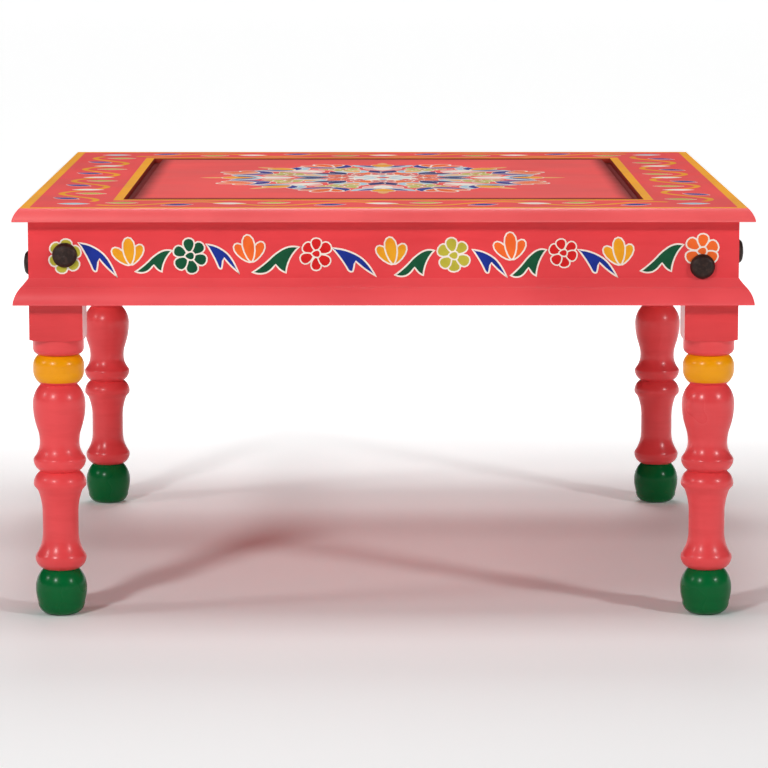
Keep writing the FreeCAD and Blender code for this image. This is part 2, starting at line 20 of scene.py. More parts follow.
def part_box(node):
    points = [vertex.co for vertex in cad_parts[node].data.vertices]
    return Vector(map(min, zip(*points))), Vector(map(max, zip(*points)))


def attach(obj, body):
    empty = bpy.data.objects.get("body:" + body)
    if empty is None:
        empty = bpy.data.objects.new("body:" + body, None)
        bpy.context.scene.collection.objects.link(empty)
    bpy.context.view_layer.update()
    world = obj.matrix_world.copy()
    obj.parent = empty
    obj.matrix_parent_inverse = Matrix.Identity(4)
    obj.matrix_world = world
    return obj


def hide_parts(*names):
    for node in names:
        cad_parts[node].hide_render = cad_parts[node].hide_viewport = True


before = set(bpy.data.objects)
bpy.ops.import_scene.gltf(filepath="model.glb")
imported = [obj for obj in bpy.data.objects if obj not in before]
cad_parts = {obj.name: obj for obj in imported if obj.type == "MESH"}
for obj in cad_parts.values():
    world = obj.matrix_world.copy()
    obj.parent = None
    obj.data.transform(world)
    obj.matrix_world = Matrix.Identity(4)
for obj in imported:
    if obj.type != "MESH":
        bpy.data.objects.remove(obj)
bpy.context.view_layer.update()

logging.basicConfig(level=logging.INFO, format="%(message)s")
log = logging.getLogger("painted_table")

Point = tuple[float, float]
Triple = tuple[float, float, float]
Tone = tuple[int, int, int]
Bend = tuple[Point, Point]
Socket = bpy.types.NodeSocket
Tree = bpy.types.NodeTree

MM = 0.001
SEED = 11

# Sizes that more than one piece uses, in millimetres
RAIL_WIDTH = 107.0
APRON_REBATE = 6.0
PANEL_DROP = 0.5
PAINT_BODY = 0.25
NEAR = 0.01
SAME_PLACE = 0.0005

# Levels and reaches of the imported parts, in millimetres
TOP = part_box("top_rail_front")[1][2] / MM
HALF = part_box("top_rail_right")[1][0] / MM
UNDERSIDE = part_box("top_rail_front")[0][2] / MM
APRON_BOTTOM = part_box("apron_front")[0][2] / MM
APRON_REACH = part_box("apron_right")[1][0] / MM
MOULDING_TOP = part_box("base_moulding_front")[1][2] / MM
MOULDING_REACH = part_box("base_moulding_right")[1][0] / MM
TOP_FLAT = TOP - PAINT_BODY
PANEL_LEVEL = TOP - PANEL_DROP
OPENING = HALF - RAIL_WIDTH


class Placed(Enum):
    """A place round the table: its name in the part and its turn from the first one, in degrees."""

    @property
    def label(self) -> str:
        """The place's name in the part."""
        return self.value[0]

    @property
    def turn(self) -> Matrix:
        """The turn that takes a piece from the first place to this one."""
        return Matrix.Rotation(math.radians(self.value[1]), 4, "Z")


class Side(Placed):
    """A side of the table."""

    FRONT = ("front", 0.0)
    RIGHT = ("right", 90.0)
    BACK = ("back", 180.0)
    LEFT = ("left", 270.0)

    @property
    def along_x(self) -> bool:
        """True for the front and the back, whose boards run along X."""
        return self in (Side.FRONT, Side.BACK)


class Corner(Placed):
    """A corner of the table."""

    FRONT_LEFT = ("front_left", 0.0)
    FRONT_RIGHT = ("front_right", 90.0)
    BACK_RIGHT = ("back_right", 180.0)
    BACK_LEFT = ("back_left", 270.0)


# Node groups


def linear(tone: Tone) -> tuple[float, float, float, float]:
    """Turns a display colour into the linear colour that a shader takes.

    Args:
        tone: red, green and blue from 0 to 255.

    Returns:
        Linear red, green, blue and full alpha.
    """
    parts = []
    for part in tone:
        share = part / 255
        # The numbers are those of the sRGB curve
        parts.append(share / 12.92 if share <= 0.04045 else ((share + 0.055) / 1.055) ** 2.4)
    return (parts[0], parts[1], parts[2], 1.0)


def set_inputs(node: bpy.types.Node, values: dict[str, object]) -> None:
    """Sets the inputs of a node by their names."""
    for name, value in values.items():
        node.inputs[name].default_value = value


class NodeGroup:
    """A small builder for a shared node group."""

    # A node that mixes colours has its colours and its result in these sockets
    MIX_FIRST = 6
    MIX_SECOND = 7
    MIX_RESULT = 2

    def __init__(self, name: str, **inputs: str) -> None:
        """Starts a group.

        Args:
            name: the group's name.
            inputs: the kind of each input, such as Color, Float or Vector.
        """
        self.tree = bpy.data.node_groups.new(name, "ShaderNodeTree")
        self.start = self.tree.nodes.new("NodeGroupInput")
        self.end = self.tree.nodes.new("NodeGroupOutput")
        for label, kind in inputs.items():
            self.tree.interface.new_socket(name=label, in_out="INPUT", socket_type=f"NodeSocket{kind}")
        self.place = self.node("TexCoord").outputs["Object"]

    def taken(self, name: str) -> Socket:
        """The socket with one of the group's inputs."""
        return self.start.outputs[name]

    def gives(self, name: str, kind: str, source: Socket) -> None:
        """Adds an output socket and feeds it from source."""
        self.tree.interface.new_socket(name=name, in_out="OUTPUT", socket_type=f"NodeSocket{kind}")
        self.link(source, self.end.inputs[name])

    def node(self, kind: str, **settings: object) -> bpy.types.Node:
        """Adds a node.

        Args:
            kind: the node's type without its ShaderNode prefix.
            settings: properties of the node.

        Returns:
            The new node.
        """
        made = self.tree.nodes.new(f"ShaderNode{kind}")
        for key, value in settings.items():
            setattr(made, key, value)
        return made

    def link(self, source: Socket, target: Socket) -> None:
        """Joins two sockets."""
        self.tree.links.new(source, target)

    def stretched(self) -> Socket:
        """The coordinates, drawn out by the group's Stretch input.

        Returns:
            The socket with the coordinates.
        """
        made = self.node("VectorMath", operation="MULTIPLY")
        self.link(self.place, made.inputs[0])
        self.link(self.taken("Stretch"), made.inputs[1])
        return made.outputs[0]

    def noise(self, vector: Socket, scale: float, detail: float, rough: float) -> Socket:
        """Adds a noise texture.

        Args:
            vector: the coordinates it reads.
            scale: how many cells there are in a metre.
            detail: how many finer layers it has.
            rough: how strong those are.

        Returns:
            The socket with its value.
        """
        made = self.node("TexNoise")
        set_inputs(made, {"Scale": scale, "Detail": detail, "Roughness": rough})
        self.link(vector, made.inputs["Vector"])
        return made.outputs["Fac"]

    def ranged(self, value: Socket, low: Point, high: Point) -> Socket:
        """Maps a value smoothly from one range to another.

        Args:
            value: the socket it reads.
            low: the lower end before and after.
            high: the upper end before and after.

        Returns:
            The socket with the mapped value.
        """
        made = self.node("MapRange", interpolation_type="SMOOTHSTEP")
        set_inputs(made, {"From Min": low[0], "From Max": high[0], "To Min": low[1], "To Max": high[1]})
        self.link(value, made.inputs["Value"])
        return made.outputs["Result"]

    def math(self, operation: str, first: Socket, second: Socket | float) -> Socket:
        """Adds a sum of two values.

        Args:
            operation: the name of the sum.
            first: the first value's socket.
            second: the second value, as a socket or a number.

        Returns:
            The socket with the result.
        """
        made = self.node("Math", operation=operation)
        self.link(first, made.inputs[0])
        if isinstance(second, (int, float)):
            made.inputs[1].default_value = second
        else:
            self.link(second, made.inputs[1])
        return made.outputs[0]

    def mixed(self, share: Socket, first: Socket, second: Socket) -> Socket:
        """Mixes two colours.

        Args:
            share: how much of the second shows.
            first: a colour.
            second: a colour.

        Returns:
            The socket with the mixed colour.
        """
        made = self.node("Mix", data_type="RGBA")
        self.link(share, made.inputs[0])
        self.link(first, made.inputs[self.MIX_FIRST])
        self.link(second, made.inputs[self.MIX_SECOND])
        return made.outputs[self.MIX_RESULT]


@cache
def brushed_coat() -> Tree:
    """Brushed paint: streaks along the brush, cloudy patches and a fine relief.

    Returns:
        The node group, which is made once.
    """
    kinds = {"Tone": "Color", "Deep": "Color", "Stretch": "Vector", "Streaks": "Float", "Gloss": "Float"}
    group = NodeGroup("brushed_coat", **kinds)
    streak = group.noise(group.stretched(), scale=60.0, detail=5.0, rough=0.62)
    cloud = group.noise(group.place, scale=9.0, detail=3.0, rough=0.5)
    strong = group.ranged(streak, low=(0.4, 0.0), high=(0.72, 1.0))
    shown = group.math("MULTIPLY", strong, group.taken("Streaks"))
    shade = group.node("HueSaturation")
    group.link(group.mixed(shown, group.taken("Tone"), group.taken("Deep")), shade.inputs["Color"])
    group.link(group.ranged(cloud, low=(0.3, 0.94), high=(0.7, 1.05)), shade.inputs["Value"])
    worn = group.ranged(cloud, low=(0.3, -0.05), high=(0.7, 0.07))
    group.gives("Color", "Color", shade.outputs["Color"])
    group.gives("Roughness", "Float", group.math("ADD", worn, group.taken("Gloss")))
    group.gives("Height", "Float", streak)
    return group.tree


@cache
def sunk_margin_shade() -> Tree:
    """Darkens a panel's sunk margin and fades out on its field: partly the panel's dark border paint, partly
    painted shade of the recess.

    Returns:
        The node group, which is made once.
    """
    group = NodeGroup("sunk_margin_shade", Color="Color", Shade="Color")
    size = group.node("VectorMath", operation="ABSOLUTE")
    group.link(group.place, size.inputs[0])
    parts = group.node("SeparateXYZ")
    group.link(size.outputs[0], parts.inputs[0])
    reach = group.math("MAXIMUM", parts.outputs["X"], parts.outputs["Y"])
    wander = 0.004
    uneven = group.math("MULTIPLY", group.noise(group.place, scale=30.0, detail=3.0, rough=0.6), wander)
    # The share of the dark colour, which is partly painted shade, grows towards the margin
    share = group.ranged(group.math("ADD", reach, uneven), low=(0.246, 0.0), high=(0.267, 0.94))
    group.gives("Color", "Color", group.mixed(share, group.taken("Color"), group.taken("Shade")))
    return group.tree


@cache
def hammered_metal() -> Tree:
    """Forged metal: hammer marks, scale and rubbed patches.

    Returns:
        The node group, which is made once.
    """
    group = NodeGroup("hammered_metal", Tone="Color", Rubbed="Color", Gloss="Float")
    marks = group.noise(group.place, scale=260.0, detail=3.0, rough=0.55)
    scale = group.noise(group.place, scale=900.0, detail=4.0, rough=0.7)
    shown = group.ranged(marks, low=(0.42, 0.0), high=(0.7, 0.7))
    dulled = group.ranged(scale, low=(0.3, -0.08), high=(0.7, 0.1))
    group.gives("Color", "Color", group.mixed(shown, group.taken("Tone"), group.taken("Rubbed")))
    group.gives("Roughness", "Float", group.math("ADD", dulled, group.taken("Gloss")))
    scale_share = 0.3
    group.gives("Height", "Float", group.math("ADD", marks, group.math("MULTIPLY", scale, scale_share)))
    return group.tree


@cache
def wood_grain() -> Tree:
    """Sawn wood: rings drawn out along the grain, with pores.

    Returns:
        The node group, which is made once.
    """
    group = NodeGroup("wood_grain", Tone="Color", Deep="Color", Stretch="Vector")
    drawn = group.stretched()
    rings = group.noise(drawn, scale=40.0, detail=4.0, rough=0.6)
    pores = group.noise(drawn, scale=320.0, detail=2.0, rough=0.6)
    late = group.ranged(rings, low=(0.35, 0.0), high=(0.68, 0.8))
    dark = group.math("ADD", late, group.ranged(pores, low=(0.55, 0.0), high=(0.8, 0.5)))
    group.gives("Color", "Color", group.mixed(dark, group.taken("Tone"), group.taken("Deep")))
    group.gives("Roughness", "Float", group.ranged(rings, low=(0.3, 0.72), high=(0.7, 0.6)))
    group.gives("Height", "Float", pores)
    return group.tree


@cache
def far_glow() -> Tree:
    """White that comes up away from a place in front of the table, so that the floor stays pale far off.

    Returns:
        The node group, which is made once.
    """
    to_front = (0.0, 1.2, 0.0)
    group = NodeGroup("far_glow")
    moved = group.node("VectorMath", operation="ADD")
    group.link(group.place, moved.inputs[0])
    moved.inputs[1].default_value = to_front
    away = group.node("VectorMath", operation="LENGTH")
    group.link(moved.outputs[0], away.inputs[0])
    group.gives("Color", "Color", group.ranged(away.outputs["Value"], low=(1.3, 0.02), high=(3.0, 1.0)))
    return group.tree


# Finishes


@dataclass(frozen=True)
class Finish:
    """What every finish shares: a name, two tones and a material with one node group behind it."""

    name: str
    tone: Tone
    deep: Tone

    def material(self) -> bpy.types.Material:
        """Makes the material once.

        Returns:
            The material.
        """
        known = bpy.data.materials.get(self.name)
        if known:
            return known
        made = bpy.data.materials.new(self.name)
        made.use_nodes = True
        self.dress(made.node_tree, made.node_tree.nodes["Principled BSDF"])
        return made

    def dress(self, tree: Tree, shader: bpy.types.Node) -> None:
        """Fills the material's nodes; each finish has its own."""
        raise NotImplementedError

    @staticmethod
    def fed(tree: Tree, shader: bpy.types.Node, group: Tree, relief: Point) -> bpy.types.Node:
        """Feeds the shader from a group's colour, roughness and height.

        Args:
            tree: the material's nodes.
            shader: the principled shader.
            group: the shared node group.
            relief: strength and depth in metres of the bump.

        Returns:
            The group's node, for its inputs to be set.
        """
        source = tree.nodes.new("ShaderNodeGroup")
        source.node_tree = group
        bump = tree.nodes.new("ShaderNodeBump")
        set_inputs(bump, {"Strength": relief[0], "Distance": relief[1]})
        tree.links.new(source.outputs["Color"], shader.inputs["Base Color"])
        tree.links.new(source.outputs["Roughness"], shader.inputs["Roughness"])
        tree.links.new(source.outputs["Height"], bump.inputs["Height"])
        tree.links.new(bump.outputs["Normal"], shader.inputs["Normal"])
        return source


@dataclass(frozen=True)
class Enamel(Finish):
    """Oil enamel brushed on wood."""

    stretch: Triple
    streaks: float = 0.3
    gloss: float = 0.36
    relief: float = 0.12
    depth: float = 0.0005
    specular: float = 0.3
    coat: float = 0.1
    coat_gloss: float = 0.18

    def dress(self, tree: Tree, shader: bpy.types.Node) -> None:
        """Sets the brushed coat and a thin gloss over it."""
        self.coated(tree, shader)

    def coated(self, tree: Tree, shader: bpy.types.Node) -> bpy.types.Node:
        """Sets the brushed coat and a thin gloss over it.

        Args:
            tree: the material's nodes.
            shader: the principled shader.

        Returns:
            The brushed coat's node.
        """
        source = self.fed(tree, shader, brushed_coat(), (self.relief, self.depth))
        set_inputs(source, {"Tone": linear(self.tone), "Deep": linear(self.deep)})
        set_inputs(source, {"Stretch": self.stretch, "Streaks": self.streaks, "Gloss": self.gloss})
        set_inputs(shader, {"Specular IOR Level": self.specular})
        set_inputs(shader, {"Coat Weight": self.coat, "Coat Roughness": self.coat_gloss})
        return source


@dataclass(frozen=True)
class MarginEnamel(Enamel):
    """The panel's enamel, darkened in its sunk margin partly by dark border paint and partly by painted
    shade.
    """

    # The margin's dark colour: partly border paint, partly painted shade of the recess
    shade: Tone = (104, 17, 14)

    def dress(self, tree: Tree, shader: bpy.types.Node) -> None:
        """Puts the dark margin, partly painted shade, over the brushed coat's colour.

        Args:
            tree: the material's nodes.
            shader: the principled shader.
        """
        source = self.coated(tree, shader)
        margin = tree.nodes.new("ShaderNodeGroup")
        margin.node_tree = sunk_margin_shade()
        set_inputs(margin, {"Shade": linear(self.shade)})
        tree.links.new(source.outputs["Color"], margin.inputs["Color"])
        tree.links.new(margin.outputs["Color"], shader.inputs["Base Color"])


@dataclass(frozen=True)
class Metal(Finish):
    """Forged or plated metal."""

    gloss: float
    metallic: float
    specular: float = 0.5
    relief: float = 0.5
    depth: float = 0.0008

    def dress(self, tree: Tree, shader: bpy.types.Node) -> None:
        """Sets the hammered metal.

        Args:
            tree: the material's nodes.
            shader: the principled shader.
        """
        source = self.fed(tree, shader, hammered_metal(), (self.relief, self.depth))
        set_inputs(source, {"Tone": linear(self.tone), "Rubbed": linear(self.deep), "Gloss": self.gloss})
        set_inputs(shader, {"Metallic": self.metallic, "Specular IOR Level": self.specular})


@dataclass(frozen=True)
class BareWood(Finish):
    """Unpainted wood of the hidden parts."""

    stretch: Triple
    relief: float = 0.25
    depth: float = 0.0004

    def dress(self, tree: Tree, shader: bpy.types.Node) -> None:
        """Sets the grain."""
        source = self.fed(tree, shader, wood_grain(), (self.relief, self.depth))
        set_inputs(source, {"Tone": linear(self.tone), "Deep": linear(self.deep), "Stretch": self.stretch})


# How far the streaks of the brush and of the grain are drawn out along each axis
ALONG_X = (0.12, 1.0, 1.0)
ALONG_Y = (1.0, 0.12, 1.0)
ROUND_Z = (0.25, 0.25, 1.6)
EVEN = (1.0, 1.0, 1.0)
GRAIN_X = (0.06, 1.0, 1.0)
GRAIN_Y = (1.0, 0.06, 1.0)


def both_ways(name: str, tone: Tone, deep: Tone, **looks: float) -> dict[bool, Enamel]:
    """One enamel, brushed along X and along Y.

    Args:
        name: the start of the two finishes' names.
        tone: its colour.
        deep: its deeper streaks.
        looks: fields of the enamel.

    Returns:
        The two finishes, by whether the brush went along X.
    """
    return {
        True: Enamel(f"{name}_along_x", tone, deep, ALONG_X, **looks),
        False: Enamel(f"{name}_along_y", tone, deep, ALONG_Y, **looks),
    }


FLAT = {"gloss": 0.62, "specular": 0.12, "coat": 0.0}
SMOOTH = {"streaks": 0.15, "relief": 0.05}

# One coral paint in several copies: the rails, nose, mouldings, panel and legs are toned lighter than the
# aprons, painted light for how the lamps fall on each part
CORAL = both_ways("coral", (227, 65, 70), (213, 50, 55), specular=0.16, coat=0.04)
RAIL = both_ways("rail_coral", (234, 80, 80), (222, 64, 64), **FLAT)
NOSE = both_ways("nose_coral", (236, 84, 86), (222, 66, 68), gloss=0.42, specular=0.7, coat=0.5, **SMOOTH)
FOOT = both_ways("moulding_coral", (234, 77, 82), (222, 63, 68), specular=0.45, coat=0.25, **SMOOTH)
PANEL_CORAL = MarginEnamel("panel_coral", (238, 88, 86), (226, 72, 70), ALONG_X, **FLAT)
LEG_CORAL = Enamel("leg_coral", (232, 72, 75), (214, 54, 57), ROUND_Z, gloss=0.32, coat=0.15)
LEG_YELLOW = Enamel("leg_yellow", (242, 160, 4), (228, 136, 2), ROUND_Z, gloss=0.3, specular=0.2)
LEG_GREEN = Enamel("leg_green", (4, 100, 48), (3, 82, 40), ROUND_Z, gloss=0.26, specular=0.12)
# A darker copy of the leg's coral for the block: painted shade for the shadow under the base moulding
BLOCK_SHADED_CORAL = Enamel("block_coral_painted_shade", (220, 60, 63), (204, 46, 49), ROUND_Z)
STRIPE = Enamel("stripe_yellow", (242, 168, 40), (236, 134, 36), EVEN, **FLAT)
# The rails' dark inner walls round the panel: partly border paint, partly painted shade of the recess
LIP_PAINTED_SHADE = Enamel("lip_painted_shade", (170, 54, 46), (146, 44, 38), EVEN, **FLAT)
IRON = Metal("stud_iron", (38, 22, 17), (62, 42, 34), gloss=0.46, metallic=0.2, specular=0.34)
ZINC = Metal("fixing_zinc", (150, 152, 156), (186, 188, 190), gloss=0.36, metallic=1.0, relief=0.1)
WOOD_X = BareWood("bare_wood_along_x", (186, 140, 92), (128, 84, 48), GRAIN_X)
WOOD_Y = BareWood("bare_wood_along_y", (186, 140, 92), (128, 84, 48), GRAIN_Y)


class Hue(Enum):
    """A colour of the painted ornament, with its deeper streaks."""

    CREAM = ((240, 230, 218), (228, 208, 196))
    BLUE = ((28, 50, 146), (18, 34, 112))
    NAVY = ((40, 46, 112), (26, 30, 84))
    PALE_BLUE = ((176, 204, 216), (140, 176, 200))
    LEAF = ((20, 84, 54), (10, 60, 40))
    OLIVE = ((190, 180, 62), (158, 150, 46))
    ORANGE = ((241, 108, 44), (222, 82, 30))
    RED = ((214, 34, 34), (182, 20, 26))
    YELLOW = ((236, 164, 36), (224, 132, 22))
    SAND = ((238, 176, 112), (226, 150, 92))
    PINK = ((240, 176, 172), (232, 150, 150))

    @property
    def finish(self) -> Enamel:
        """The paint of this colour."""
        return Enamel(f"ornament_{self.name.lower()}", *self.value, EVEN, streaks=0.5, relief=0.2, **FLAT)

    @property
    def slot(self) -> int:
        """Its place in the ornament's list of materials."""
        return list(Hue).index(self)


# Outlines and meshes


def arc_about(start: Point, end: Point, centre: Point, steps: int) -> list[Point]:
    """Points on an arc, the short way round.

    Args:
        start: where it starts; not in the result.
        end: where it ends.
        centre: its centre.
        steps: how many points.

    Returns:
        The points after start, up to end.
    """
    begin = math.atan2(start[1] - centre[1], start[0] - centre[0])
    finish = math.atan2(end[1] - centre[1], end[0] - centre[0])
    sweep = (finish - begin + math.pi) % math.tau - math.pi
    radius = math.dist(start, centre)
    points = []
    for step in range(1, steps + 1):
        angle = begin + sweep * step / steps
        points.append((centre[0] + radius * math.cos(angle), centre[1] + radius * math.sin(angle)))
    return points


def arc_of_radius(start: Point, end: Point, radius: float, steps: int) -> list[Point]:
    """Points on an arc of a known radius.

    Args:
        start: where it starts; not in the result.
        end: where it ends.
        radius: positive if the centre is on the left on the way from start to end.
        steps: how many points.

    Returns:
        The points after start, up to end.
    """
    chord = math.dist(start, end)
    rise = math.sqrt(radius * radius - chord * chord / 4)
    left = (-(end[1] - start[1]) / chord, (end[0] - start[0]) / chord)
    way = math.copysign(rise, radius)
    centre = ((start[0] + end[0]) / 2 + left[0] * way, (start[1] + end[1]) / 2 + left[1] * way)
    return arc_about(start, end, centre, steps)


def put_on_show(
    name: str,
    shape: bmesh.types.BMesh,
    finishes: Sequence[Finish],
    stands_for: Sequence[str] = (),
    sharp: float = 32.0,
) -> None:
    """Turns a mesh drawn in millimetres into a piece of the table.

    Args:
        name: the piece's name.
        shape: its mesh, which is freed.
        finishes: its materials in slot order.
        stands_for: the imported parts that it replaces.
        sharp: the angle in degrees above which an edge stays sharp.
    """
    bmesh.ops.remove_doubles(shape, verts=shape.verts, dist=SAME_PLACE)
    bmesh.ops.recalc_face_normals(shape, faces=shape.faces)
    bmesh.ops.scale(shape, vec=(MM, MM, MM), verts=shape.verts)
    mesh = bpy.data.meshes.new(name)
    shape.to_mesh(mesh)
    shape.free()
    for finish in finishes:
        mesh.materials.append(finish.material())
    mesh.shade_smooth()
    mesh.set_sharp_from_angle(angle=math.radians(sharp))
    piece = bpy.data.objects.new(name, mesh)
    bpy.context.collection.objects.link(piece)
    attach(piece, "root")
    if stands_for:
        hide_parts(*stands_for)
    log.info("piece %s: %d faces", name, len(mesh.polygons))


def mitred_board(section: Sequence[Point], pick: Callable[[Vector], int] | None = None) -> bmesh.types.BMesh:
    """A board along the front, mitred at both ends.

    Args:
        section: its outline as reach from the table's middle and height.
        pick: gives a face's material from its middle; without it all faces have the first.

    Returns:
        The board's mesh.
    """
    shape = bmesh.new()
    end = [shape.verts.new((-reach, -reach, height)) for reach, height in section]
    grown = bmesh.ops.extrude_face_region(shape, geom=[shape.faces.new(end)], use_keep_orig=True)
    for part in grown["geom"]:
        if isinstance(part, bmesh.types.BMVert):
            part.co.x = -part.co.x
    bmesh.ops.recalc_face_normals(shape, faces=shape.faces)
    if pick:
        for face in shape.faces:
            face.material_index = pick(face.calc_center_median())
    return shape


def ease_long_edges(
    shape: bmesh.types.BMesh,
    width: float,
    keep: Callable[[Vector], bool],
    angle: float = 30.0,
    long: float = 100.0,
) -> None:
    """Rounds the sharp edges of a board that run along X.

    Args:
        shape: the board's mesh.
        width: how far the round goes from the edge.
        keep: says from a point on an edge whether it is rounded.
        angle: the angle in degrees above which an edge is sharp.
        long: the shortest edge that is rounded.
    """
    edges = []
    for edge in shape.edges:
        first, second = (vert.co for vert in edge.verts)
        way = first - second
        lengthwise = abs(way.x) > long and abs(way.y) < NEAR and abs(way.z) < NEAR
        if lengthwise and edge.is_manifold and edge.calc_face_angle() > math.radians(angle) and keep(first):
            edges.append(edge)
    bmesh.ops.bevel(shape, geom=edges, offset=width, affect="EDGES", segments=2, profile=0.5, material=-1)


def anticlockwise(outline: Sequence[Point]) -> list[Point]:
    """The outline in anticlockwise order.

    Args:
        outline: a closed outline.

    Returns:
        The same points, turned round if they ran clockwise.
    """
    area = 0.0
    for first, second in zip(outline, list(outline[1:]) + [outline[0]]):
        area += first[0] * second[1] - second[0] * first[1]
    return list(outline) if area > 0 else list(reversed(outline))


def laid(points: Iterable[Point], base: Point, angle: float) -> list[Point]:
    """Lays points that are drawn along X from the origin.

    Args:
        points: how far each is along and across.
        base: where the origin goes.
        angle: where X points, in degrees.

    Returns:
        The points in their place.
    """
    cos, sin = math.cos(math.radians(angle)), math.sin(math.radians(angle))
    return [(base[0] + x * cos - y * sin, base[1] + x * sin + y * cos) for x, y in points]


def petal(base: Point, angle: float, length: float, width: float, count: int = 14) -> list[Point]:
    """An egg-shaped petal, broader towards its tip.

    Args:
        base: its narrow end.
        angle: where it points, in degrees.
        length: from base to tip.
        width: across.
        count: how many points.

    Returns:
        Its outline.
    """
    root_share, swell_share = 0.72, 0.5
    points = []
    for index in range(count):
        turn = math.tau * index / count
        share = (1 - math.cos(turn)) / 2
        points.append((length * share, -width / 2 * math.sin(turn) * (root_share + swell_share * share)))
    return laid(points, base, angle)


def leaf(base: Point, angle: float, length: float, width: float, count: int = 12) -> list[Point]:
    """A leaf with a point at both ends.

    Args:
        base: its stalk end.
        angle: where it points, in degrees.
        length: from end to end.
        width: across.
        count: how many points.

    Returns:
        Its outline.
    """
    half = count // 2
    sides = [(step / half, -1.0) for step in range(half)] + [(1 - step / half, 1.0) for step in range(half)]
    points = [(length * share, sign * width / 2 * math.sin(math.pi * share)) for share, sign in sides]
    return laid(points, base, angle)


def shrunk(outline: Sequence[Point], rim: float) -> list[Point]:
    """The outline drawn inwards, by less where the shape is thin.

    Args:
        outline: a closed outline in anticlockwise order.
        rim: how far it is drawn in.

    Returns:
        As many points as the outline has.
    """
    look_share, room_share, parallel = 2.2, 0.46, 1e-9
    count = len(outline)
    points = []
    for index, (x, y) in enumerate(outline):
        before, after = outline[index - 1], outline[(index + 1) % count]
        run = math.dist(before, after)
        way = ((before[1] - after[1]) / run, (after[0] - before[0]) / run)
        room = look_share * rim
        for other in range(count):
            start, end = outline[other], outline[(other + 1) % count]
            side = (end[0] - start[0], end[1] - start[1])
            across = way[0] * side[1] - way[1] * side[0]
            if index in (other, (other + 1) % count) or abs(across) < parallel:
                continue
            gap = (start[0] - x, start[1] - y)
            reach = (gap[0] * side[1] - gap[1] * side[0]) / across
            share = (gap[0] * way[1] - gap[1] * way[0]) / across
            if 0 <= share <= 1 and 0 < reach < room:
                room = reach
        drawn = min(rim, room_share * room)
        points.append((x + way[0] * drawn, y + way[1] * drawn))
    return points


def curved(runs: Sequence[Bend], steps: int) -> list[Point]:
    """A closed outline of bent runs.

    Args:
        runs: each run's start and the point that it bends towards.
        steps: how many points a run has.

    Returns:
        The outline.
    """
    points = []
    for index, (start, bend) in enumerate(runs):
        end = runs[(index + 1) % len(runs)][0]
        for step in range(steps):
            share = step / steps
            near, middle, far = (1 - share) ** 2, 2 * share * (1 - share), share**2
            points.append(tuple(near * a + middle * b + far * c for a, b, c in zip(start, bend, end)))
    return points


# Boards


class RailPaint(IntEnum):
    """The places of a rail's finishes in its list of materials."""

    CORAL = 0
    STRIPE = 1
    LIP = 2
    NOSE = 3


@dataclass
class TopFrame:
    """The four mitred rails of the top, with their rounded nose and yellow stripes."""

    edge_run: float = 7.4
    edge_nose: float = 1.5
    edge_radius: float = 25.0
    edge_steps: int = 9
    lip_thickness: float = 6.0
    lip_width: float = 10.0
    stripe_width: float = 9.8
    stripe_wrap: float = 1.0
    ease: float = 0.5
    ease_below: float = 1.0

    @property
    def edge(self) -> float:
        """Where the flat of the top ends."""
        return HALF - self.edge_run

    def section(self) -> list[Point]:
        """The rail's outline, with points where the stripes end.

        Returns:
            The points, as reach from the table's middle and height.
        """
        nose = (HALF, UNDERSIDE + self.edge_nose)
        return [
            (OPENING, TOP_FLAT),
            (OPENING + self.stripe_width, TOP_FLAT),
            (self.edge - self.stripe_width, TOP_FLAT),
            (self.edge, TOP_FLAT),
            *arc_of_radius((self.edge, TOP_FLAT), nose, -self.edge_radius, self.edge_steps),
            (HALF, UNDERSIDE),
            (OPENING + self.lip_width, UNDERSIDE),
            (OPENING + self.lip_width, TOP - self.lip_thickness),
            (OPENING, TOP - self.lip_thickness),
        ]

    def pick(self, middle: Vector) -> RailPaint:
        """The paint of a face, from where its middle is.

        Args:
            middle: the face's middle.

        Returns:
            The place of the paint in the list of materials.
        """
        reach = -middle.y
        # The inner wall round the opening takes the dark lip colour, which is partly painted shade
        if middle.z > UNDERSIDE + self.lip_thickness and reach < OPENING + NEAR:
            return RailPaint.LIP
        if middle.z > TOP_FLAT - NEAR:
            in_stripe = reach < OPENING + self.stripe_width or reach > self.edge - self.stripe_width
            return RailPaint.STRIPE if in_stripe else RailPaint.CORAL
        if reach < self.edge:
            return RailPaint.CORAL
        return RailPaint.STRIPE if middle.z > TOP_FLAT - self.stripe_wrap / 2 else RailPaint.NOSE

    def build(self) -> None:
        """Builds the rails and puts them on show."""
        for side in Side:
            shape = mitred_board(self.section(), self.pick)
            ease_long_edges(shape, self.ease, lambda place: place.z < TOP - self.ease_below)
            bmesh.ops.transform(shape, matrix=side.turn, verts=shape.verts)
            finishes = (RAIL[side.along_x], STRIPE, LIP_PAINTED_SHADE, NOSE[side.along_x])
            name = f"top_rail_{side.label}"
            put_on_show(f"{name}_painted", shape, finishes, [name])


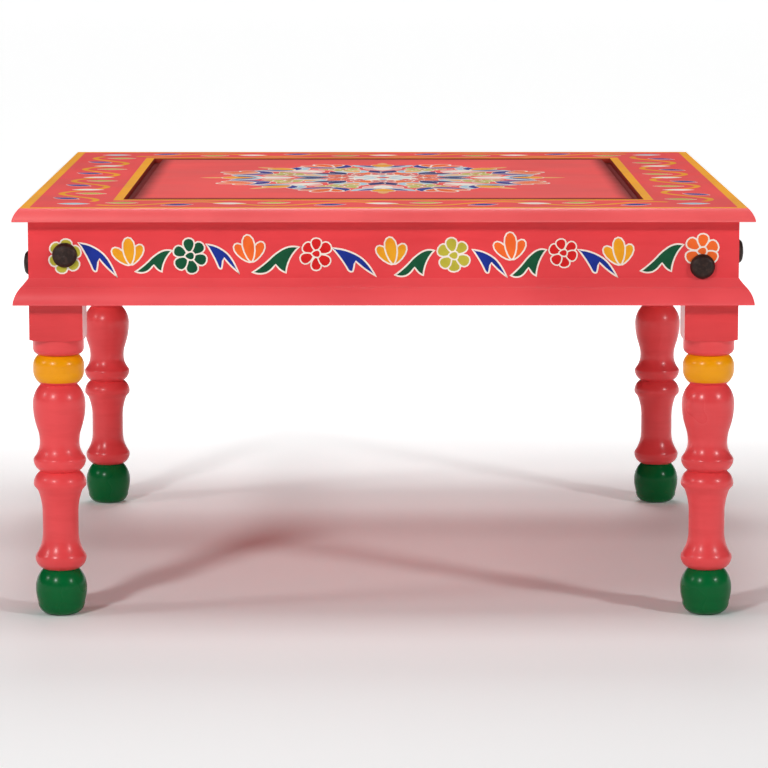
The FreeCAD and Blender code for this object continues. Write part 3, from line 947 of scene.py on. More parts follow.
@dataclass
class TopPanel:
    """The raised panel that sits inside the top frame, with a coved margin."""

    margin_width: float = 11.0
    margin_depth: float = 6.2
    cove_steps: int = 8
    hidden_edge: float = 9.0
    sharp: float = 40.0

    def steps(self) -> list[Point]:
        """The panel's edge from its field down to its underside.

        Returns:
            The points, as reach from the table's middle and height.
        """
        field = (OPENING - self.margin_width, PANEL_LEVEL)
        foot = (OPENING, PANEL_LEVEL - self.margin_depth)
        radius = (self.margin_width**2 + self.margin_depth**2) / (2 * self.margin_depth)
        outer = OPENING + self.hidden_edge
        cove = arc_about(field, foot, (foot[0], foot[1] + radius), self.cove_steps)
        return [*cove, (outer, foot[1]), (outer, UNDERSIDE)]

    def build(self) -> None:
        """Builds the panel and puts it on show."""
        shape = bmesh.new()
        bmesh.ops.create_grid(shape, x_segments=1, y_segments=1, size=OPENING - self.margin_width)
        bmesh.ops.translate(shape, verts=shape.verts, vec=(0, 0, PANEL_LEVEL))
        edges = [edge for edge in shape.edges if edge.is_boundary]
        for reach, level in self.steps():
            grown = bmesh.ops.extrude_edge_only(shape, edges=edges)
            edges = [part for part in grown["geom"] if isinstance(part, bmesh.types.BMEdge)]
            for corner in {vert for edge in edges for vert in edge.verts}:
                corner.co = (math.copysign(reach, corner.co.x), math.copysign(reach, corner.co.y), level)
        bmesh.ops.holes_fill(shape, edges=edges)
        finishes = (PANEL_CORAL,)
        put_on_show("top_panel_painted", shape, finishes, ["top_panel"], self.sharp)


@dataclass
class Aprons:
    """The four aprons, rebated below for the base moulding."""

    thickness: float = 20.0

    def section(self) -> list[Point]:
        """The apron's outline.

        Returns:
            The points, as reach from the table's middle and height.
        """
        inner = APRON_REACH - self.thickness
        return [
            (inner, APRON_BOTTOM),
            (APRON_REACH - APRON_REBATE, APRON_BOTTOM),
            (APRON_REACH - APRON_REBATE, MOULDING_TOP),
            (APRON_REACH, MOULDING_TOP),
            (APRON_REACH, UNDERSIDE),
            (inner, UNDERSIDE),
        ]

    def build(self) -> None:
        """Builds the aprons and puts them on show."""
        for side in Side:
            shape = mitred_board(self.section())
            bmesh.ops.transform(shape, matrix=side.turn, verts=shape.verts)
            name = f"apron_{side.label}"
            put_on_show(f"{name}_painted", shape, (CORAL[side.along_x],), [name])


@dataclass
class BaseMouldings:
    """The four mitred mouldings round the foot of the aprons: a small cove over a swelling bevel."""

    cove_run: float = 7.2
    cove_drop: float = 9.3
    cove_radius: float = 60.0
    cove_steps: int = 6
    quirk: float = 0.5
    nose: float = 1.4
    bevel_radius: float = 30.0
    bevel_steps: int = 9
    ease: float = 0.25
    ease_beyond: float = 3.0

    def section(self) -> list[Point]:
        """The moulding's outline.

        Returns:
            The points, as reach from the table's middle and height.
        """
        back = APRON_REACH - APRON_REBATE
        head = (APRON_REACH, MOULDING_TOP)
        cove_foot = (APRON_REACH + self.cove_run, MOULDING_TOP - self.cove_drop)
        bevel_head = (cove_foot[0] + self.quirk, cove_foot[1])
        nose = (MOULDING_REACH, APRON_BOTTOM + self.nose)
        return [
            (back, MOULDING_TOP),
            head,
            *arc_of_radius(head, cove_foot, self.cove_radius, self.cove_steps),
            bevel_head,
            *arc_of_radius(bevel_head, nose, -self.bevel_radius, self.bevel_steps),
            (MOULDING_REACH, APRON_BOTTOM),
            (back, APRON_BOTTOM),
        ]

    def build(self) -> None:
        """Builds the mouldings and puts them on show."""
        for side in Side:
            shape = mitred_board(self.section())
            ease_long_edges(shape, self.ease, lambda place: -place.y > APRON_REACH + self.ease_beyond)
            bmesh.ops.transform(shape, matrix=side.turn, verts=shape.verts)
            name = f"base_moulding_{side.label}"
            put_on_show(f"{name}_painted", shape, (FOOT[side.along_x],), [name])


# Legs


class Run(Enum):
    """How a turned outline goes from one level to the next."""

    LINE = "line"
    UPRIGHT_START = "upright at its start"
    UPRIGHT_END = "upright at its end"
    LEVEL_START = "level at its start"


class LegPaint(IntEnum):
    """The places of a leg's finishes in its list of materials."""

    CORAL = 0
    YELLOW = 1
    GREEN = 2
    BLOCK = 3


@dataclass
class TurnedLeg:
    """A leg turned below a square block, painted in three colours.

    The outline has the height as a share of the turned height, the width there and the run to the next.
    """

    block: float = 55.0
    block_height: float = 39.0
    block_cuts: int = 11
    shoulder: float = 1.5
    post: float = 35.0
    place: float = 337.2
    ankle_share: float = 0.166
    neck_share: float = 0.8455
    throat_share: float = 0.9435
    steps_round: int = 72
    arc_steps: int = 8
    outline: tuple[tuple[float, float, Run], ...] = (
        (0.0, 24.0, Run.LEVEL_START),
        (0.045, 48.8, Run.UPRIGHT_END),
        (0.097, 53.4, Run.UPRIGHT_START),
        (0.166, 36.6, Run.UPRIGHT_END),
        (0.208, 53.4, Run.LINE),
        (0.2165, 52.4, Run.UPRIGHT_END),
        (0.298, 37.4, Run.LINE),
        (0.369, 37.4, Run.UPRIGHT_START),
        (0.4525, 46.5, Run.LINE),
        (0.468, 54.0, Run.LINE),
        (0.4755, 55.0, Run.UPRIGHT_START),
        (0.5215, 40.0, Run.UPRIGHT_END),
        (0.565, 54.8, Run.LINE),
        (0.571, 53.0, Run.UPRIGHT_END),
        (0.627, 41.2, Run.UPRIGHT_START),
        (0.6756, 45.96, Run.UPRIGHT_END),
        (0.7658, 54.8, Run.UPRIGHT_START),
        (0.837, 37.4, Run.UPRIGHT_END),
        (0.8873, 53.4, Run.LINE),
        (0.903, 53.4, Run.UPRIGHT_START),
        (0.9435, 41.0, Run.UPRIGHT_END),
        (0.968, 53.2, Run.LINE),
        (1.0, 53.2, Run.LINE),
    )
    finishes: tuple[Finish, ...] = (LEG_CORAL, LEG_YELLOW, LEG_GREEN, BLOCK_SHADED_CORAL)

    @property
    def turned_height(self) -> float:
        """From the floor to the block."""
        return APRON_BOTTOM - self.block_height

    @staticmethod
    def centre(start: Point, end: Point, run: Run) -> Point:
        """The centre of the arc that a run follows.

        Args:
            start: its start, as radius and height.
            end: its end.
            run: how it goes.

        Returns:
            The centre.
        """
        wide, high = end[0] - start[0], end[1] - start[1]
        square = wide**2 + high**2
        if run is Run.UPRIGHT_START:
            return (start[0] + square / (2 * wide), start[1])
        if run is Run.UPRIGHT_END:
            return (end[0] - square / (2 * wide), end[1])
        return (start[0], start[1] + square / (2 * high))

    def profile(self) -> list[Point]:
        """The turned outline from the floor to the block.

        Returns:
            The points, as radius and height.
        """
        stations = [((width / 2, share * self.turned_height), run) for share, width, run in self.outline]
        points: list[Point] = [(0.0, 0.0), stations[0][0]]
        for (start, run), (end, _) in zip(stations, stations[1:]):
            if run is Run.LINE:
                points.append(end)
            else:
                points.extend(arc_about(start, end, self.centre(start, end, run), self.arc_steps))
        points.append((0.0, self.turned_height))
        return points

    def turning(self) -> bmesh.types.BMesh:
        """The turned part, painted green at the foot and yellow at the bun.

        Returns:
            Its mesh, with the axis at the origin.
        """
        shape = bmesh.new()
        verts = [shape.verts.new((radius, 0.0, height)) for radius, height in self.profile()]
        edges = [shape.edges.new(pair) for pair in zip(verts, verts[1:])]
        bmesh.ops.spin(
            shape,
            geom=verts + edges,
            axis=(0, 0, 1),
            cent=(0, 0, 0),
            steps=self.steps_round,
            angle=math.tau,
            use_merge=True,
        )
        bmesh.ops.remove_doubles(shape, verts=shape.verts, dist=SAME_PLACE)
        for face in shape.faces:
            share = face.calc_center_median().z / self.turned_height
            if share < self.ankle_share:
                face.material_index = LegPaint.GREEN
            elif self.neck_share < share < self.throat_share:
                face.material_index = LegPaint.YELLOW
        return shape

    def add_block(self, shape: bmesh.types.BMesh) -> None:
        """Adds the square block, its corners turned away below, and the post behind the aprons.

        Args:
            shape: the mesh of the turned part.
        """
        half = self.block / 2
        middle = self.turned_height + self.block_height / 2
        block = bmesh.ops.create_cube(shape, size=1.0)["verts"]
        bmesh.ops.scale(shape, vec=(self.block, self.block, self.block_height), verts=block)
        bmesh.ops.translate(shape, vec=(0, 0, middle), verts=block)
        low = {vert for vert in block if vert.co.z < middle}
        below = [edge for edge in shape.edges if low.issuperset(edge.verts)]
        bmesh.ops.subdivide_edges(shape, edges=below, cuts=self.block_cuts, use_grid_fill=True)
        corner = half * math.sqrt(2) - half
        radius = (corner**2 + self.shoulder**2) / (2 * self.shoulder)
        for vert in shape.verts:
            over = math.hypot(vert.co.x, vert.co.y) - half
            if abs(vert.co.z - self.turned_height) < NEAR and over > 0:
                vert.co.z += radius - math.sqrt(radius**2 - over**2)
        post = bmesh.ops.create_cube(shape, size=1.0)["verts"]
        aside = half - self.post / 2
        bmesh.ops.scale(shape, vec=(self.post, self.post, UNDERSIDE - APRON_BOTTOM), verts=post)
        bmesh.ops.translate(shape, vec=(aside, aside, (APRON_BOTTOM + UNDERSIDE) / 2), verts=post)
        # Faces above the shoulder take the darker block coral, painted shade of the moulding's shadow
        for face in shape.faces:
            if face.calc_center_median().z > self.turned_height + self.shoulder:
                face.material_index = LegPaint.BLOCK

    def build(self) -> None:
        """Builds the legs and puts them on show."""
        for corner in Corner:
            shape = self.turning()
            self.add_block(shape)
            bmesh.ops.translate(shape, vec=(-self.place, -self.place, 0), verts=shape.verts)
            bmesh.ops.transform(shape, matrix=corner.turn, verts=shape.verts)
            name = f"leg_{corner.label}"
            put_on_show(f"{name}_painted", shape, self.finishes, [name])


# Painted ornament


class PaintLayer:
    """Strokes of paint on one flat face, each a thin body with a rim round it.

    Strokes that lie over others are thicker, and strokes that follow each other differ by a hair, so that
    their faces don't lie in one plane.
    Shares of a flower or a tulip are of its radius or its height.
    """

    RIM = Hue.CREAM
    RIM_RISE = 0.0015
    BODY_SHARE = 0.5
    LAYER_SHARE = 0.055
    STROKE_RISE = 0.0022
    STROKE_LEVELS = 6
    SHARP = 50.0

    PETALS = 6
    PETAL_ROOT_SHARE = 0.14
    PETAL_LENGTH_SHARES = (0.8, 0.92)
    PETAL_WIDTH_SHARES = (0.7, 0.8)
    PETAL_SWAY = 6.0
    PETAL_RIM_SHARE = 0.085
    PETAL_LAYER = 4
    HEART_LENGTH_SHARE = 0.62
    HEART_WIDTH_SHARE = 0.54
    HEART_LAYER = 6

    # Each petal's turn in degrees, its length and its width
    TULIP_SHARES = ((38, 0.88, 0.42), (-36, 0.84, 0.42), (1, 1.0, 0.48))
    TULIP_SWAY = 3.0
    TULIP_RIM_SHARE = 0.052
    TULIP_LAYER = 4

    WING_RIM = 1.7
    WING_STEPS = 6

    def __init__(self, name: str, seed: int) -> None:
        """Starts an empty layer.

        Args:
            name: the piece's name.
            seed: where its random draws start.
        """
        self.name = name
        self.shape = bmesh.new()
        self.rng = random.Random(seed)
        self.count = 0

    def stroke(self, outline: Sequence[Point], hue: Hue, rim: float, layer: int = 0) -> None:
        """Adds one stroke.

        Args:
            outline: its closed outline on the face, in millimetres.
            hue: its colour.
            rim: how wide its rim is; 0 for none.
            layer: how many strokes it lies over.
        """
        body = PAINT_BODY * (self.BODY_SHARE + self.LAYER_SHARE * layer)
        height = body + self.STROKE_RISE * (self.count % self.STROKE_LEVELS)
        self.count += 1
        outer = anticlockwise(outline)
        foot, head = self.level(outer, 0.0), self.level(outer, height)
        self.shape.faces.new(head).material_index = hue.slot
        self.band(foot, head, self.RIM if rim else hue)
        if rim:
            crest = height + self.RIM_RISE
            self.band(self.level(outer, crest), self.level(shrunk(outer, rim), crest), self.RIM)

    def level(self, outline: Sequence[Point], height: float) -> list[bmesh.types.BMVert]:
        """Adds the points of an outline at a height."""
        return [self.shape.verts.new((x, y, height)) for x, y in outline]

    def band(self, first: list[bmesh.types.BMVert], second: list[bmesh.types.BMVert], hue: Hue) -> None:
        """Joins two rings of points with faces of one colour.

        Args:
            first: the points of a ring.
            second: as many points of the other ring.
            hue: the faces' colour.
        """
        for index in range(len(first)):
            corners = (first[index - 1], first[index], second[index], second[index - 1])
            self.shape.faces.new(corners).material_index = hue.slot

    def flower(self, centre: Point, radius: float, hue: Hue, heart: Hue, lean: float) -> None:
        """Adds a flower of round petals.

        Args:
            centre: its middle.
            radius: its reach.
            hue: the petals' colour.
            heart: the middle's colour.
            lean: the first petal's turn, in degrees.
        """
        rim = radius * self.PETAL_RIM_SHARE
        for index in range(self.PETALS):
            angle = lean + 360 * index / self.PETALS + self.rng.uniform(-self.PETAL_SWAY, self.PETAL_SWAY)
            (base,) = laid([(self.PETAL_ROOT_SHARE * radius, 0.0)], centre, angle)
            length = radius * self.rng.uniform(*self.PETAL_LENGTH_SHARES)
            width = radius * self.rng.uniform(*self.PETAL_WIDTH_SHARES)
            self.stroke(petal(base, angle, length, width), hue, rim, self.PETAL_LAYER + index % 2)
        length, width = self.HEART_LENGTH_SHARE * radius, self.HEART_WIDTH_SHARE * radius
        middle = petal((centre[0] - length / 2, centre[1]), 0.0, length, width)
        self.stroke(middle, heart, rim, self.HEART_LAYER)

    def tulip(self, foot: Point, height: float, hue: Hue, lean: float) -> None:
        """Adds a tulip of three petals.

        Args:
            foot: where its petals meet.
            height: the middle petal's length.
            hue: its colour.
            lean: where it points, in degrees.
        """
        for index, (turn, length, width) in enumerate(self.TULIP_SHARES):
            angle = lean + turn + self.rng.uniform(-self.TULIP_SWAY, self.TULIP_SWAY)
            shape = petal(foot, angle, height * length, height * width)
            self.stroke(shape, hue, height * self.TULIP_RIM_SHARE, self.TULIP_LAYER + index)

    def wing(self, stem: Point, tip: Point, hue: Hue, form: Sequence[Bend]) -> None:
        """Adds a leaf with several points that falls from its stem to its tip.

        Args:
            stem: its thin end.
            tip: its long point.
            hue: its colour.
            form: its bent runs, with the stem at (0, 0) and the tip at (1, -1).
        """
        wide, high = tip[0] - stem[0], stem[1] - tip[1]
        runs = []
        for start, bend in form:
            runs.append(tuple((stem[0] + x * wide, stem[1] + y * high) for x, y in (start, bend)))
        self.stroke(curved(runs, self.WING_STEPS), hue, self.WING_RIM)

    def show(self, place: Matrix) -> None:
        """Puts the layer on the face that place takes it to."""
        bmesh.ops.transform(self.shape, matrix=place, verts=self.shape.verts)
        put_on_show(self.name, self.shape, [hue.finish for hue in Hue], sharp=self.SHARP)


@dataclass
class Frieze:
    """The painted band of flowers, tulips and two-pointed leaves on each apron.

    Places are along the apron from its middle and down from its top edge. A flower also has its radius, and a
    wing has its stem and its tip. The forms of the wings are bent runs from the stem at (0, 0) to the tip at
    (1, -1) and back.
    """

    flowers: tuple[tuple[float, float, float, Hue], ...] = (
        (-327.5, 36.0, 18.5, Hue.OLIVE),
        (-199.0, 36.0, 19.2, Hue.LEAF),
        (-69.5, 33.8, 17.4, Hue.RED),
        (71.5, 35.6, 18.8, Hue.OLIVE),
        (184.0, 33.0, 16.2, Hue.RED),
        (326.5, 31.2, 19.4, Hue.ORANGE),
    )
    flower_lean: float = 30.0
    flower_sway: float = 12.0
    tulips: tuple[tuple[float, float, Hue], ...] = (
        (-259.7, 46.0, Hue.YELLOW),
        (-135.6, 43.0, Hue.ORANGE),
        (10.2, 45.3, Hue.YELLOW),
        (131.5, 40.6, Hue.ORANGE),
        (243.0, 46.0, Hue.YELLOW),
    )
    tulip_height: float = 30.0
    tulip_lean: float = 96.0
    blue_wings: tuple[tuple[float, float, float, float], ...] = (
        (-314.2, 21.8, -272.7, 58.7),
        (-183.2, 23.2, -147.4, 55.2),
        (-54.4, 27.2, -6.8, 58.1),
        (89.7, 28.9, 127.9, 59.3),
        (198.0, 28.9, 241.3, 59.3),
    )
    blue_form: tuple[Bend, ...] = (
        ((0.0, 0.0), (0.34, 0.0)),
        ((0.64, -0.29), (0.84, -0.5)),
        ((1.0, -1.0), (0.74, -0.8)),
        ((0.535, -0.49), (0.52, -0.72)),
        ((0.49, -0.82), (0.42, -0.88)),
        ((0.36, -0.77), (0.24, -0.42)),
    )
    green_wings: tuple[tuple[float, float, float, float], ...] = (
        (-215.6, 30.1, -256.2, 52.2),
        (-85.5, 26.6, -136.2, 52.9),
        (53.3, 30.1, 10.2, 55.7),
        (168.0, 29.5, 129.2, 56.3),
        (308.9, 24.3, 262.4, 51.6),
    )
    green_form: tuple[Bend, ...] = (
        ((0.0, 0.0), (0.18, 0.12)),
        ((0.36, -0.06), (0.48, -0.19)),
        ((0.58, -0.36), (0.75, -0.7)),
        ((1.0, -1.0), (0.86, -1.15)),
        ((0.7, -1.06), (0.58, -0.97)),
        ((0.5, -0.73), (0.43, -0.98)),
        ((0.28, -1.05), (0.25, -0.42)),
    )

    def paint(self, layer: PaintLayer) -> None:
        """Paints one apron's strokes on layer.

        Args:
            layer: the strokes so far.
        """
        for x, drop, radius, hue in self.flowers:
            layer.flower((x, -drop), radius, hue, hue, self.flower_lean + self.flower_sway * math.sin(x))
        wings = ((self.blue_wings, Hue.BLUE, self.blue_form), (self.green_wings, Hue.LEAF, self.green_form))
        for places, hue, form in wings:
            for stem_x, stem_drop, tip_x, tip_drop in places:
                layer.wing((stem_x, -stem_drop), (tip_x, -tip_drop), hue, form)
        for x, drop, hue in self.tulips:
            layer.tulip((x, -drop), self.tulip_height, hue, self.tulip_lean)

    def build(self) -> None:
        """Paints the four aprons."""
        upright = Matrix.Translation((0, -APRON_REACH, UNDERSIDE)) @ Matrix.Rotation(math.pi / 2, 4, "X")
        for index, side in enumerate(Side):
            layer = PaintLayer(f"frieze_{side.label}", SEED + index)
            self.paint(layer)
            layer.show(side.turn @ upright)


class Sprig(NamedTuple):
    """A leaf beside the stem of a vine.

    It has its place as a share of the stem's period and inwards from the middle of the rail, its direction in
    degrees on a side rail and on the front and the back rail, and its colour.
    """

    share: float
    inwards: float
    across: float
    along: float
    hue: Hue


@dataclass
class RailVine:
    """The winding stem with leaves on each rail of the top, and a leaf across each corner.

    The leaves of all four rails lie from left to right, as the photograph shows them.
    """

    seed: int = SEED + 20
    middle: float = 322.0
    swing: float = 21.5
    period: float = 158.0
    crest: float = 0.28
    stem_width: float = 7.0
    steps: int = 24
    half: float = 296.0
    corner: float = 321.0
    leaf_length: float = 35.0
    leaf_width: float = 19.0
    leaf_points: int = 16
    leaf_rim: float = 1.0
    leaf_layer: int = 2
    leaf_sway: float = 6.0
    leaves: tuple[Sprig, ...] = (
        Sprig(0.28, 10.0, 82.0, 6.0, Hue.OLIVE),
        Sprig(0.65, -11.5, 58.0, 18.0, Hue.BLUE),
        Sprig(0.99, 3.0, 90.0, 0.0, Hue.CREAM),
    )

    def stem(self) -> list[Point]:
        """The outline of the winding stem.

        Returns:
            The points, along the rail and inwards from its middle.
        """
        count = self.steps * round(2 * self.half / self.period)
        upper = []
        lower = []
        for step in range(count + 1):
            x = -self.half + 2 * self.half * step / count
            phase = math.tau * (x / self.period - self.crest)
            y = -self.swing * math.cos(phase)
            slope = math.tau / self.period * self.swing * math.sin(phase)
            across = self.stem_width / 2 / math.hypot(1, slope)
            upper.append((x - across * slope, y + across))
            lower.append((x + across * slope, y - across))
        return lower + upper[::-1]

    def paint(self, layer: PaintLayer, lengthwise: bool) -> None:
        """Paints one rail's vine.

        Args:
            layer: the strokes so far.
            lengthwise: whether the leaves lie along the rail.
        """
        layer.stroke(self.stem(), Hue.YELLOW, 0.0)
        turns = math.ceil(self.half / self.period)
        for turn in range(-turns, turns + 1):
            for sprig in self.leaves:
                x = (turn + sprig.share) * self.period
                if abs(x) < self.half - self.leaf_width / 2:
                    angle = sprig.along if lengthwise else sprig.across
                    self.paint_leaf(layer, (x, sprig.inwards), angle, sprig.hue)

    def paint_leaf(self, layer: PaintLayer, middle: Point, angle: float, hue: Hue) -> None:
        """Paints one leaf.

        Args:
            layer: the strokes so far.
            middle: the leaf's middle.
            angle: where it points, in degrees.
            hue: its colour.
        """
        angle += layer.rng.uniform(-self.leaf_sway, self.leaf_sway)
        (base,) = laid([(-self.leaf_length / 2, 0.0)], middle, angle)
        outline = leaf(base, angle, self.leaf_length, self.leaf_width, self.leaf_points)
        layer.stroke(outline, hue, self.leaf_rim, self.leaf_layer)

    def build(self) -> None:
        """Paints the four rails, with the corners' leaves on the front and the back."""
        for index, side in enumerate(Side):
            layer = PaintLayer(f"vine_{side.label}", self.seed + index)
            self.paint(layer, side.along_x)
            if side.along_x:
                for x in (-self.corner, self.corner):
                    self.paint_leaf(layer, (x, 0.0), 0.0, Hue.PALE_BLUE)
            layer.show(side.turn @ Matrix.Translation((0, -self.middle, TOP_FLAT)))


class PetalRing(NamedTuple):
    """Petals, or leaves, that point outwards round the middle.

    The reach is from the middle to their bases, and the shift is a share of the step from one to the next.
    """

    reach: float
    shift: float
    length: float
    width: float
    hue: Hue
    rim: float
    layer: int


class PairRing(NamedTuple):
    """Pairs of leaves round the middle, each pair spread by an angle to both sides."""

    reach: float
    shift: float
    spread: float
    length: float
    width: float
    hue: Hue
    layer: int


class FlowerRing(NamedTuple):
    """Flowers round the middle."""

    reach: float
    shift: float
    radius: float
    hue: Hue
    heart: Hue


@dataclass
class Medallion:
    """The round painted medallion in the middle of the panel."""

    seed: int = SEED + 40
    folds: int = 8
    petals: tuple[PetalRing, ...] = (
        PetalRing(8, 0.0, 34, 22, Hue.PALE_BLUE, 1.3, 0),
        PetalRing(12, 0.5, 30, 14, Hue.CREAM, 0.0, 2),
        PetalRing(38, 0.5, 30, 24, Hue.ORANGE, 1.3, 1),
        PetalRing(74, 0.5, 36, 22, Hue.SAND, 1.2, 3),
        PetalRing(98, 0.0, 46, 22, Hue.CREAM, 0.0, 3),
        PetalRing(144, 0.0, 38, 28, Hue.YELLOW, 1.3, 4),
    )
    pairs: tuple[PairRing, ...] = (
        PairRing(58, 0.0, 19, 44, 20, Hue.NAVY, 2),
        PairRing(66, 0.5, 27, 40, 18, Hue.PALE_BLUE, 1),
        PairRing(100, 0.0, 33, 42, 18, Hue.PINK, 1),
        PairRing(108, 0.5, 40, 38, 18, Hue.OLIVE, 2),
        PairRing(134, 0.5, 34, 52, 22, Hue.BLUE, 3),
        PairRing(132, 0.0, 42, 54, 24, Hue.PALE_BLUE, 2),
        PairRing(140, 0.0, 44, 42, 15, Hue.BLUE, 3),
    )
    pair_rim: float = 1.1
    flowers: tuple[FlowerRing, ...] = (
        FlowerRing(46, 0.0, 15, Hue.RED, Hue.CREAM),
        FlowerRing(114, 0.5, 20, Hue.OLIVE, Hue.RED),
    )
    tulip_reach: float = 153.0
    tulip_shift: float = 0.5
    tulip_height: float = 47.0
    tips: PetalRing = PetalRing(172, 0.0, 33, 12, Hue.SAND, 0.0, 1)
    heart: PetalRing = PetalRing(-9, 0.0, 18, 16, Hue.RED, 1.4, 6)

    def ring(self, reach: float, shift: float) -> Iterator[tuple[Point, float]]:
        """Places round the middle.

        Args:
            reach: how far they are from the middle.
            shift: the first one's turn, as a share of the step.

        Returns:
            Each place with its direction in degrees.
        """
        for index in range(self.folds):
            angle = 360 * (index + shift) / self.folds
            turn = math.radians(angle)
            yield (reach * math.cos(turn), reach * math.sin(turn)), angle

    def build(self) -> None:
        """Paints the medallion."""
        layer = PaintLayer("medallion", self.seed)
        for row in self.petals:
            for base, angle in self.ring(row.reach, row.shift):
                layer.stroke(petal(base, angle, row.length, row.width), row.hue, row.rim, row.layer)
        for row in self.pairs:
            for spread in (row.spread, -row.spread):
                for base, angle in self.ring(row.reach, row.shift):
                    outline = leaf(base, angle + spread, row.length, row.width)
                    layer.stroke(outline, row.hue, self.pair_rim, row.layer)
        for row in self.flowers:
            for centre, angle in self.ring(row.reach, row.shift):
                layer.flower(centre, row.radius, row.hue, row.heart, angle)
        for foot, angle in self.ring(self.tulip_reach, self.tulip_shift):
            layer.tulip(foot, self.tulip_height, Hue.ORANGE, angle)
        tips, heart = self.tips, self.heart
        for base, angle in self.ring(tips.reach, tips.shift):
            layer.stroke(leaf(base, angle, tips.length, tips.width), tips.hue, tips.rim, tips.layer)
        outline = petal((heart.reach, 0.0), 0.0, heart.length, heart.width)
        layer.stroke(outline, heart.hue, heart.rim, heart.layer)
        layer.show(Matrix.Translation((0, 0, PANEL_LEVEL)))


# Small parts and the studio


@dataclass
class PlainParts:
    """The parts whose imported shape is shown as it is, with a finish put on."""

    finished: tuple[tuple[Finish, tuple[str, ...]], ...] = (
        (WOOD_X, ("top_cleat_front", "top_cleat_back", "mitre_tongues")),
        (WOOD_Y, ("top_cleat_left", "top_cleat_right", "panel_batten_left", "panel_batten_right")),
        (IRON, ("stud_bolts",)),
        (ZINC, ("bolt_washers", "bolt_nuts", "cleat_screws", "apron_screws", "batten_screws")),
    )

    def build(self) -> None:
        """Puts the finishes on."""
        for finish, names in self.finished:
            for name in names:
                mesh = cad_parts[name].data
                mesh.materials.clear()
                mesh.materials.append(finish.material())
                log.info("finish %s on %s", finish.name, name)


class Lamp(NamedTuple):
    """A soft square lamp that points at the table.

    Its azimuth is in degrees to the right of the front, its height in degrees above the table, its distance
    and its size in metres and its power in watts.
    """

    name: str
    azimuth: float
    height: float
    far: float
    size: float
    power: float


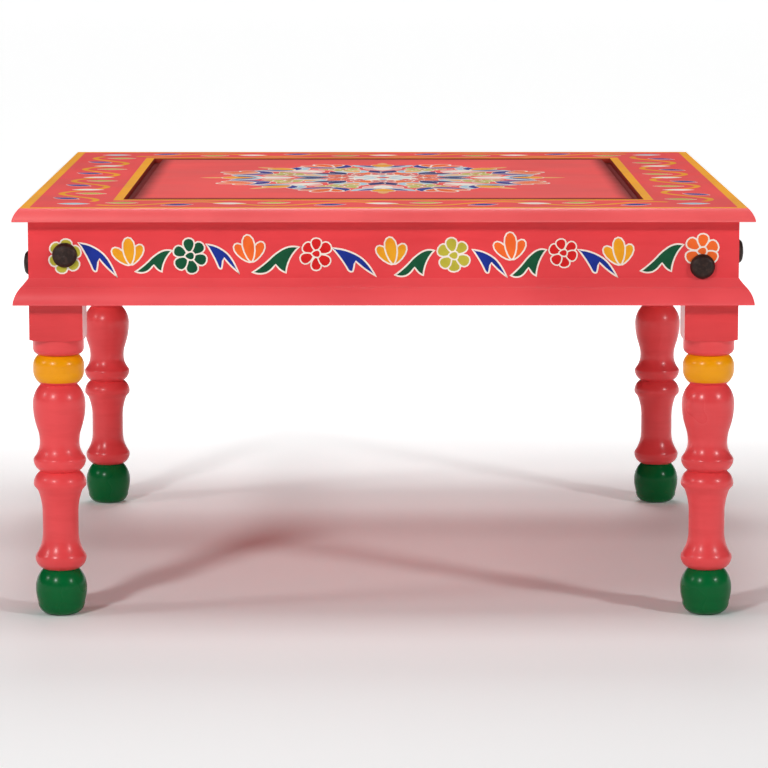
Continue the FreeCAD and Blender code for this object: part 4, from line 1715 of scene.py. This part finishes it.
@dataclass
class Studio:
    """The pale floor, the low wall far away, the soft light and the camera.

    Places are in metres, the camera's pitch and yaw in degrees, and its lens and sensor in millimetres.
    """

    eye: Triple = (-0.0105, -4.0467, 0.7702)
    pitch: float = 8.105
    yaw: float = -0.168
    lens: float = 169.1
    sensor: float = 36.0
    aim: Triple = (0.0, 0.0, 0.25)
    floor_reach: float = 30.0
    floor_tone: float = 0.95
    floor_rough: float = 0.9
    floor_glow: float = 0.95
    wall_far: float = 29.0
    wall_height: float = 3.4
    wall_sides: int = 96
    wall_tone: float = 0.9
    wall_rough: float = 1.0
    wall_glow: float = 0.42
    sky: float = 0.01
    lamps: tuple[Lamp, ...] = (
        Lamp("key_left", -28.0, 28.0, 3.6, 0.35, 42.0),
        Lamp("key_right", 48.0, 25.0, 3.6, 0.35, 33.0),
        Lamp("far_left", -70.0, 26.0, 3.6, 0.5, 15.0),
        Lamp("front_top", 0.0, 84.0, 2.6, 1.0, 22.0),
        Lamp("back_top", 180.0, 54.0, 2.8, 1.4, 26.0),
    )

    @staticmethod
    def set_piece(
        name: str, shape: bmesh.types.BMesh, tone: float, rough: float, glow: float
    ) -> bpy.types.Material:
        """Puts a pale, glowing piece of the studio in its place.

        Args:
            name: its name.
            shape: its mesh, which is freed.
            tone: how pale it is, from 0 to 1.
            rough: its roughness.
            glow: how strongly it glows.

        Returns:
            Its material.
        """
        mesh = bpy.data.meshes.new(name)
        shape.to_mesh(mesh)
        shape.free()
        paint = bpy.data.materials.new(f"{name}_paint")
        paint.use_nodes = True
        shader = paint.node_tree.nodes["Principled BSDF"]
        set_inputs(shader, {"Base Color": (tone, tone, tone, 1.0), "Roughness": rough})
        set_inputs(shader, {"Emission Color": (1.0, 1.0, 1.0, 1.0), "Emission Strength": glow})
        mesh.materials.append(paint)
        piece = bpy.data.objects.new(name, mesh)
        bpy.context.collection.objects.link(piece)
        return paint

    def floor(self) -> None:
        """Lays the floor, which glows far away."""
        shape = bmesh.new()
        bmesh.ops.create_grid(shape, x_segments=1, y_segments=1, size=self.floor_reach)
        paint = self.set_piece("floor", shape, self.floor_tone, self.floor_rough, self.floor_glow)
        tree = paint.node_tree
        glow = tree.nodes.new("ShaderNodeGroup")
        glow.node_tree = far_glow()
        tree.links.new(glow.outputs["Color"], tree.nodes["Principled BSDF"].inputs["Emission Color"])

    def backdrop(self) -> None:
        """Stands a low pale wall round the floor, far away, for views from near the floor."""
        shape = bmesh.new()
        bmesh.ops.create_cone(
            shape,
            cap_ends=False,
            segments=self.wall_sides,
            radius1=self.wall_far,
            radius2=self.wall_far,
            depth=self.wall_height,
        )
        bmesh.ops.translate(shape, verts=shape.verts, vec=(0, 0, self.wall_height / 2))
        self.set_piece("backdrop", shape, self.wall_tone, self.wall_rough, self.wall_glow)

    def hang(self, lamp: Lamp) -> None:
        """Hangs a lamp.

        Args:
            lamp: the lamp to hang.
        """
        data = bpy.data.lights.new(lamp.name, "AREA")
        data.size = lamp.size
        data.energy = lamp.power
        turn, rise = math.radians(lamp.azimuth), math.radians(lamp.height)
        way = Vector((math.sin(turn) * math.cos(rise), -math.cos(turn) * math.cos(rise), math.sin(rise)))
        place = Vector(self.aim) + way * lamp.far
        hung = bpy.data.objects.new(lamp.name, data)
        hung.matrix_world = Matrix.Translation(place) @ (-way).to_track_quat("-Z", "Y").to_matrix().to_4x4()
        bpy.context.collection.objects.link(hung)

    def camera(self) -> bpy.types.Object:
        """The camera at the photograph's place.

        Returns:
            The camera.
        """
        data = bpy.data.cameras.new("camera")
        data.lens = self.lens
        data.sensor_width = self.sensor
        camera = bpy.data.objects.new("camera", data)
        camera.location = self.eye
        camera.rotation_euler = (math.radians(90 - self.pitch), 0, math.radians(self.yaw))
        bpy.context.collection.objects.link(camera)
        return camera

    def build(self) -> None:
        """Sets the studio up."""
        scene = bpy.context.scene
        scene.view_settings.view_transform = "Standard"
        world = bpy.data.worlds.new("studio")
        world.use_nodes = True
        background = world.node_tree.nodes["Background"]
        set_inputs(background, {"Color": (1.0, 1.0, 1.0, 1.0), "Strength": self.sky})
        scene.world = world
        self.floor()
        self.backdrop()
        for lamp in self.lamps:
            self.hang(lamp)
        scene.camera = self.camera()


def main() -> None:
    """Builds the table and the studio."""
    table = (TopFrame(), TopPanel(), Aprons(), BaseMouldings(), TurnedLeg())
    ornament = (Frieze(), RailVine(), Medallion())
    for part in (*table, *ornament, PlainParts(), Studio()):
        part.build()
    bpy.context.view_layer.update()


if __name__ == "__main__":
    main()
